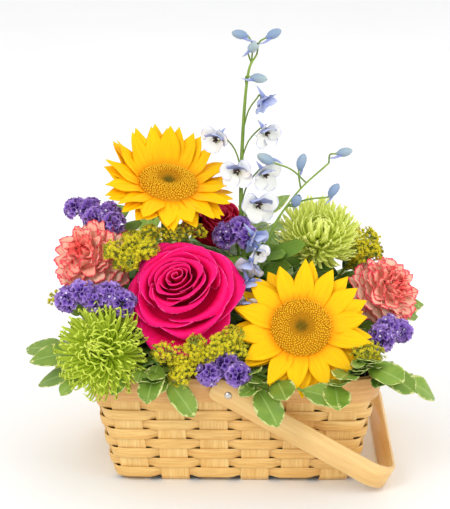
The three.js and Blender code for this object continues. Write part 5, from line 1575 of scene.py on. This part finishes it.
solidago("solidago_left", (-82, -60, 186), (-0.2, -0.7, 0.7), (20, 12), "0010", 96, 7.5, 21,
         [((-79, -50, 172), (-62, -38, 196)), ((-79, -50, 172), (-42, -32, 195)),
          ((-60, -40, 186), (-24, -28, 190)), ((-79, -50, 168), (-92, -56, 172)),
          ((-74, -42, 162), (-66, -58, 180)), ((-98, -44, 129), (-148, -44, 140))])
solidago("solidago_front", (-30, -104, 112), (0, -0.9, 0.4), (32, 14), "3200x", 104, 8.0, 22,
         [((-29, -92, 106), (-2, -102, 124)), ((-29, -92, 106), (10, -98, 116)),
          ((-12, -84, 104), (4, -100, 130)), ((-29, -88, 104), (-46, -104, 104))])
solidago("solidago_right", (104, 14, 172), (0.5, -0.3, 0.8), (22, 15), "0000", 96, 7.5, 24,
         [((97, 18, 158), (92, -2, 166)), ((92, 20, 150), (108, -8, 158)),
          ((84, -62, 98), (101, -101, 114)), ((84, -62, 98), (113, -92, 111))])

# %% [markdown]
# ## Pittosporum
# The leaves over the rim are variegated pittosporum: oval, leathery and waxy, grey green in the middle
# with a cream margin that wanders in and out, and edges that wave. A leaf is one flat petal with
# waves. It stays clear of the blooms and of the strap, also while the handle swings up: a large leaf
# takes the first of five sizes that fits, or else the last, and a small one is drawn only where it
# fits.

# %% The variegated leaf finish
variegated, tree, shader = start_finish("waxy_variegated_leaf", IOR=1.42, Coat_Weight=0.08,
                                        Coat_Roughness=0.35)
mark = add(tree, "Attribute", attribute_name="mark").outputs["Vector"]
along, across, shade = add(tree, "SeparateXYZ", {0: mark}).outputs
place = add(tree, "TexCoord").outputs["Object"]
mottle = add(tree, "TexNoise", {"Vector": place, "Scale": 110, "Detail": 3}).outputs[0]
patch = add(tree, "TexNoise", {"Vector": place, "Scale": 260, "Detail": 2}).outputs[0]
leaf_green, leaf_pale = linear("5C8824"), linear("A2BC48")
green = add(tree, "Mix", {0: mottle, 6: leaf_green, 7: leaf_pale}, data_type="RGBA").outputs[2]
green = add(tree, "Mix", {0: shade, 6: green, 7: linear("3A6014")}, data_type="RGBA").outputs[2]
rim = add(tree, "Math", {0: across}, operation="ABSOLUTE").outputs[0]
midrib = {"Value": rim, "From Min": 0.03, "From Max": 0.09, "To Min": 0.55, "To Max": 0.0}
vein = add(tree, "MapRange", midrib).outputs[0]
green = add(tree, "Mix", {0: vein, 6: green, 7: linear("A9C36C")}, data_type="RGBA").outputs[2]
tip = add(tree, "Math", {0: along, 1: 0.92}, operation="MULTIPLY").outputs[0]
edge = add(tree, "Math", {0: rim, 1: tip}, operation="MAXIMUM").outputs[0]
wander = add(tree, "Math", {0: patch, 1: 0.9, 2: -0.45}, operation="MULTIPLY_ADD").outputs[0]
edge = add(tree, "Math", {0: edge, 1: wander}, operation="ADD").outputs[0]
margin = add(tree, "MapRange", {"Value": edge, "From Min": 0.9, "From Max": 0.98}).outputs[0]
colour = add(tree, "Mix", {0: margin, 6: green, 7: linear("CDD284")}, data_type="RGBA").outputs[2]
tree.links.new(colour, shader.inputs["Base Color"])
rough = add(tree, "MapRange", {"Value": mottle, "To Min": 0.34, "To Max": 0.55}).outputs[0]
tree.links.new(rough, shader.inputs["Roughness"])
ribs = add(tree, "VectorMath", {0: mark, 1: (9, 3, 4)}, operation="MULTIPLY").outputs[0]
relief = add(tree, "TexNoise", {"Vector": ribs, "Scale": 1.6, "Detail": 2}).outputs[0]
bump = add(tree, "Bump", {"Height": relief, "Strength": 0.35, "Distance": 0.0005}).outputs[0]
tree.links.new(bump, shader.inputs["Normal"])
print("leaf finish made")

# %% Where the sprigs' twigs end, and how each leaf stands
# Each sprig: the ends of its two twigs, how many leaves are on each, their length, how the packed
# part's twigs and then its leaves stand (as for the solidago) and the seed.
SPRIGS = {
    "pittosporum_1": (((-122, -82, 88), (-134, -50, 98)), 4, 36, "000x000000", 31),
    "pittosporum_2": (((-83, -100, 94), (-50, -101, 91)), 4, 32, "0000020300", 32),
    "pittosporum_3": (((18, -110, 88), (53, -107, 87)), 5, 30, "00x00003x0x0", 33),
    "pittosporum_4": (((69, -108, 87), (128, -84, 88)), 5, 32, "00x3x0x00000", 34),
    "pittosporum_5": (((126, -4, 112), (120, 52, 108)), 4, 36, "00004x0000", 35),
    "pittosporum_6": (((98, 74, 122), (34, 96, 146)), 4, 46, "0000000000", 36),
    "pittosporum_7": (((16, 84, 166), (-34, 104, 116)), 4, 46, "0010000000", 37),
    "pittosporum_8": (((-112, 36, 126), (-78, 82, 156)), 4, 46, "0000000000", 38),
}
LEAF_OUTLINE = [(0, 0.05), (0.14, 0.56), (0.34, 0.92), (0.6, 1.0), (0.84, 0.74), (1, 0.05)]
# The share of its length and the width in millimetres that a large leaf tries, broadest first.
LEAF_SIZES = ((1.15, 21), (1.05, 18.5), (1.0, 16.5), (0.8, 14), (0.65, 12))
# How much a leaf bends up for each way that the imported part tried.
LEAF_BENDS = (0, 0.25, -0.25, 0.5, -0.5, 0.8, 0, 0.5)
print("sprigs:", len(SPRIGS))

# %% Keep the leaves clear
def clear_of_pieces(sheet):
    """Whether a sheet of points cuts none of the pieces made so far."""
    wide = len(sheet[0])
    points = [p for row in sheet[1:] for p in row]
    faces = [(i * wide + j, i * wide + j + 1, (i + 1) * wide + j + 1, (i + 1) * wide + j)
             for i in range(len(sheet) - 2) for j in range(wide - 1)]
    tree = BVHTree.FromPolygons(points, faces)
    return not any(tree.overlap(other) for other in made_trees.values())


def swung_strap(lift):
    """The strap as the handle lifts it, for leaves to keep clear of."""
    piece = strap()
    swing = Matrix.Rotation(math.radians(-lift), 4, "Y")
    turn = Matrix.Translation(PIVOT) @ swing @ Matrix.Translation(-PIVOT)
    return BVHTree.FromPolygons([turn @ p for p in piece.points], piece.faces)


for lift in (0, 5, 11, 16, 22):
    made_trees[f"strap_{lift}"] = swung_strap(lift)
print("things for a leaf to miss:", len(made_trees))

# %% Draw large and small leaves
def leaf(piece, root, grow, up, length, curl, draw):
    """A leaf as broad as the room round it allows, or of the smallest size."""
    shape = dict(curl=curl, channel=0.1, ripple=1.0, waves=draw.uniform(1.2, 2.0), phase=draw.uniform(0, 6),
                 twist=draw.uniform(-0.25, 0.25), rows=16, cols=11)
    for longer, width in LEAF_SIZES:
        sheet = flat_petal(root, grow, up, length * longer, width, LEAF_OUTLINE, **shape)
        if clear_of_pieces(sheet):
            break
    piece.grid(sheet, shade=0.45 * draw.random())


LOWEST_LEAF = 88
WAYS_TO_GROW = 7


def scatter_leaves(piece, line, length, width, draw, off=0.0, rise=(-0.1, 0.75), lean=0.0):
    """Leaves off a line of points, wherever there is room for one. They lean to the front."""
    grown = 0
    for n, root in enumerate(line):
        for k in range(WAYS_TO_GROW):
            angle = n * GOLDEN + k * 1.05
            grow = Vector((math.cos(angle), math.sin(angle), draw.uniform(*rise))).normalized()
            up = UP - Vector((0, lean, 0))
            up = (up - grow * up.dot(grow)).normalized()
            shape = dict(curl=draw.uniform(-0.7, 0.1), channel=0.12, ripple=0.9, waves=1.8,
                         phase=draw.uniform(0, 6), rows=10, cols=7)
            sheet = flat_petal(root + grow * off, grow, up, length * draw.uniform(0.55, 1.0),
                               width * draw.uniform(0.7, 1.0), LEAF_OUTLINE, **shape)
            points = [p for row in sheet for p in row]
            if min(p.z for p in points) < LOWEST_LEAF or any(hides(p) for p in points):
                continue
            if clear_of_pieces(sheet):
                piece.grid(sheet, shade=draw.uniform(0.2, 0.9))
                grown += 1
                break
    return grown


print("sizes that a large leaf tries:", len(LEAF_SIZES))

# %% Grow the sprigs
def sprig(name, tips, leaves, length, tries, seed):
    """A sprig that forks where its stem ends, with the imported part's leaves and smaller ones."""
    turns, draw = seeded(seed), random.Random(seed)
    fork = Vector(STEMS[name][-1])
    piece = Piece()
    steps = [0 if t == "x" else int(t) for t in tries]
    ends = [Vector(t) + Vector((0, 0, 4 * steps[i])) for i, t in enumerate(tips) if tries[i] != "x"]
    stem(piece, name, finish=1)
    turn = len(tips)
    for end in ends:
        run = end - fork
        twig = path_through([fork, fork.lerp(end, 0.5) + Vector((0, 0, 0.6)), end], 8)
        piece.tube(twig, 0.9, sides=6, finish=1)
        along = run.normalized()
        side = UP.cross(along).normalized()
        for i in range(leaves):
            root = fork + run * ((i + 0.8) / leaves)
            spread = 0.1 if i == leaves - 1 else 0.8 + 0.35 * turns()
            hand = 1 if i % 2 else -1
            curl = -0.2 - 0.5 * turns()
            size = length * (0.8 + 0.3 * turns())
            droop = 0.15 * turns()
            if tries[turn] != "x":
                k = steps[turn]
                grow = along * math.cos(spread) + side * (hand * math.sin(spread))
                grow = (grow + UP * (0.25 + LEAF_BENDS[k] - droop)).normalized()
                # The leaves turn to the front, except those at the back.
                to_front = 0.6 if fork.y < 40 else 0.0
                up = UP - along * 0.3 - Vector((0, to_front, 0))
                up = (up - grow * up.dot(grow)).normalized()
                leaf(piece, root, grow, up, size * (0.7 if k > 4 else 1), curl, draw)
            turn += 1
    line = path_through(STEMS[name][2:], 18)
    for end in ends:
        line += [fork.lerp(end, t) for t in (0.15, 0.3, 0.45, 0.6, 0.75, 0.9)]
    grown = scatter_leaves(piece, line, 0.95 * length, 17, draw)
    print(f"{name}: {grown} smaller leaves")
    finish_piece(f"{name}_sprig", piece, [variegated, stem_green], [name], thick=0.4)


for name, values in SPRIGS.items():
    sprig(name, *values)

# %% [markdown]
# ## Filler twigs
# Short pieces of the same foliage fill the gaps round the rim and behind the blooms, so that little
# of the foam and the liner shows. Each twig starts at a sprig's stem where it leaves the foam. On the
# high twigs the leaves turn their faces to the front, so that they close the gaps that we look into.

# %% Grow the filler twigs
FILLER_TWIGS = {
    "pittosporum_6": [(52, 84, 99), (78, 78, 99), (22, 84, 99), (64, 84, 104), (96, 70, 100),
                      (44, 42, 138)],
    "pittosporum_7": [(-34, 84, 99), (4, 86, 99), (-8, 84, 104), (-20, 86, 100), (12, 82, 102),
                      (-30, 50, 164), (8, 44, 156), (-44, 62, 170), (-20, 70, 162), (4, 70, 150)],
    "pittosporum_8": [(-60, 84, 99), (-88, 76, 99), (-104, 44, 102), (-106, 12, 104), (-76, 82, 102),
                      (-46, 84, 100)],
    "pittosporum_5": [(106, -8, 104), (106, 46, 100), (92, 72, 101), (104, 26, 100)],
    "pittosporum_1": [(-104, -20, 107), (-88, -84, 106)],
    "pittosporum_4": [(110, -60, 107), (84, -88, 106)],
    "pittosporum_3": [(36, -90, 104), (-22, -88, 104)],
}
HIGH_TWIG = 130
draw = random.Random(61)
for name, ends in FILLER_TWIGS.items():
    piece = Piece()
    start = Vector(STEMS[name][2])
    grown = 0
    for end in ends:
        path = path_through([start, start.lerp(Vector(end), 0.5) + Vector((0, 0, 3)), end], 8)
        piece.tube(path, 0.9, sides=6, finish=1)
        lean = 1.2 if end[2] > HIGH_TWIG else 0
        grown += scatter_leaves(piece, path[1:], 34, 17, draw, rise=(-0.3, 0.4), lean=lean)
    finish_piece(f"{name}_filler_twigs", piece, [variegated, stem_green], [], thick=0.4)
    print(f"{name}: {grown} leaves on its filler twigs")

# %% [markdown]
# ## Leaves on the flower stems
# The florist leaves the upper leaves on the flower stems, and they fill the dark gaps between the
# blooms. They are plain green, softer than the pittosporum, and duller. Each stem gets a leaf
# wherever one fits without cutting a bloom or standing in front of one.

# %% Grow the leaves on the stems
stem_leaf = petal_finish(
    "soft_green_stem_leaf", "4A6E1E", "6C9030", "88A83E", roughness=0.6, sheen=0.1, veins=5,
    vein_depth=0.35, root_reach=0.2, shade_dark=0.5)
draw = random.Random(51)
for name, (radius, *points) in STEMS.items():
    if name in SPRIGS:
        continue
    piece = Piece()
    line = path_through(points[1:], 14)
    grown = scatter_leaves(piece, line, 40, 20, draw, off=radius + 0.3, lean=0.6)
    if grown:
        finish_piece(f"{name}_stem_leaves", piece, [stem_leaf], [], thick=0.35)
    print(f"{name}: {grown} leaves on the stem")

# %% [markdown]
# ## Floor, light and checks
# A plain pale floor runs out of sight, as in a studio. One large soft lamp stands high at the left,
# a weaker one fills from the right and one lifts the petals from behind, under an even white sky.

# %% Lay the floor and set the lamps
floor_mesh = bpy.data.meshes.new("studio_floor")
floor_mesh.from_pydata([(-9, -4, 0), (9, -4, 0), (9, 14, 0), (-9, 14, 0)], [], [(0, 1, 2, 3)])
floor = bpy.data.objects.new("studio_floor", floor_mesh)
scene.collection.objects.link(floor)
floor.location.z = -0.0002
matte_paint, tree, shader = start_finish("matte_white_paint", Roughness=0.85)
place = add(tree, "TexCoord").outputs["Object"]
roller = add(tree, "TexNoise", {"Vector": place, "Scale": 6, "Detail": 3}).outputs[0]
colour = add(tree, "Mix", {0: roller, 6: linear("F4F4F4"), 7: linear("F8F8F8")}, data_type="RGBA")
tree.links.new(colour.outputs[2], shader.inputs["Base Color"])
floor_mesh.materials.append(matte_paint)
floor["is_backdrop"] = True


def lamp(name, place, aim, size, power):
    """A round soft lamp, with its size in metres and its power in watts."""
    data = bpy.data.lights.new(name, "AREA")
    data.shape = "DISK"
    data.size = size
    data.energy = power
    made = bpy.data.objects.new(name, data)
    made.location = place
    made.rotation_euler = (Vector(aim) - Vector(place)).to_track_quat("-Z", "Y").to_euler()
    scene.collection.objects.link(made)


lamp("key", (-1.0, -1.5, 1.6), (0, 0, 0.15), 0.9, 13)
lamp("fill", (1.7, -1.0, 0.9), (0, 0, 0.14), 1.2, 9.5)
lamp("back", (0.4, 1.5, 1.5), (0, 0, 0.2), 1.0, 4)
world = bpy.data.worlds.new("white_sky")
world.use_nodes = True
sky = world.node_tree.nodes["Background"]
sky.inputs["Color"].default_value = (1, 1, 1, 1)
sky.inputs["Strength"].default_value = 1.0
scene.world = world
scene.view_settings.view_transform = "Standard"
print("lamps: 3")

# %% Compare the sizes
sizes = {"cad": [list(corner) for corner in CAD_BOX], "visual": [list(corner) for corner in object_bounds()]}
for k, axis in enumerate("xyz"):
    ends = [round(1000 * sizes[which][i][k], 1) for which in ("cad", "visual") for i in (0, 1)]
    print(axis, "from and to in mm, CAD then visual:", ends)
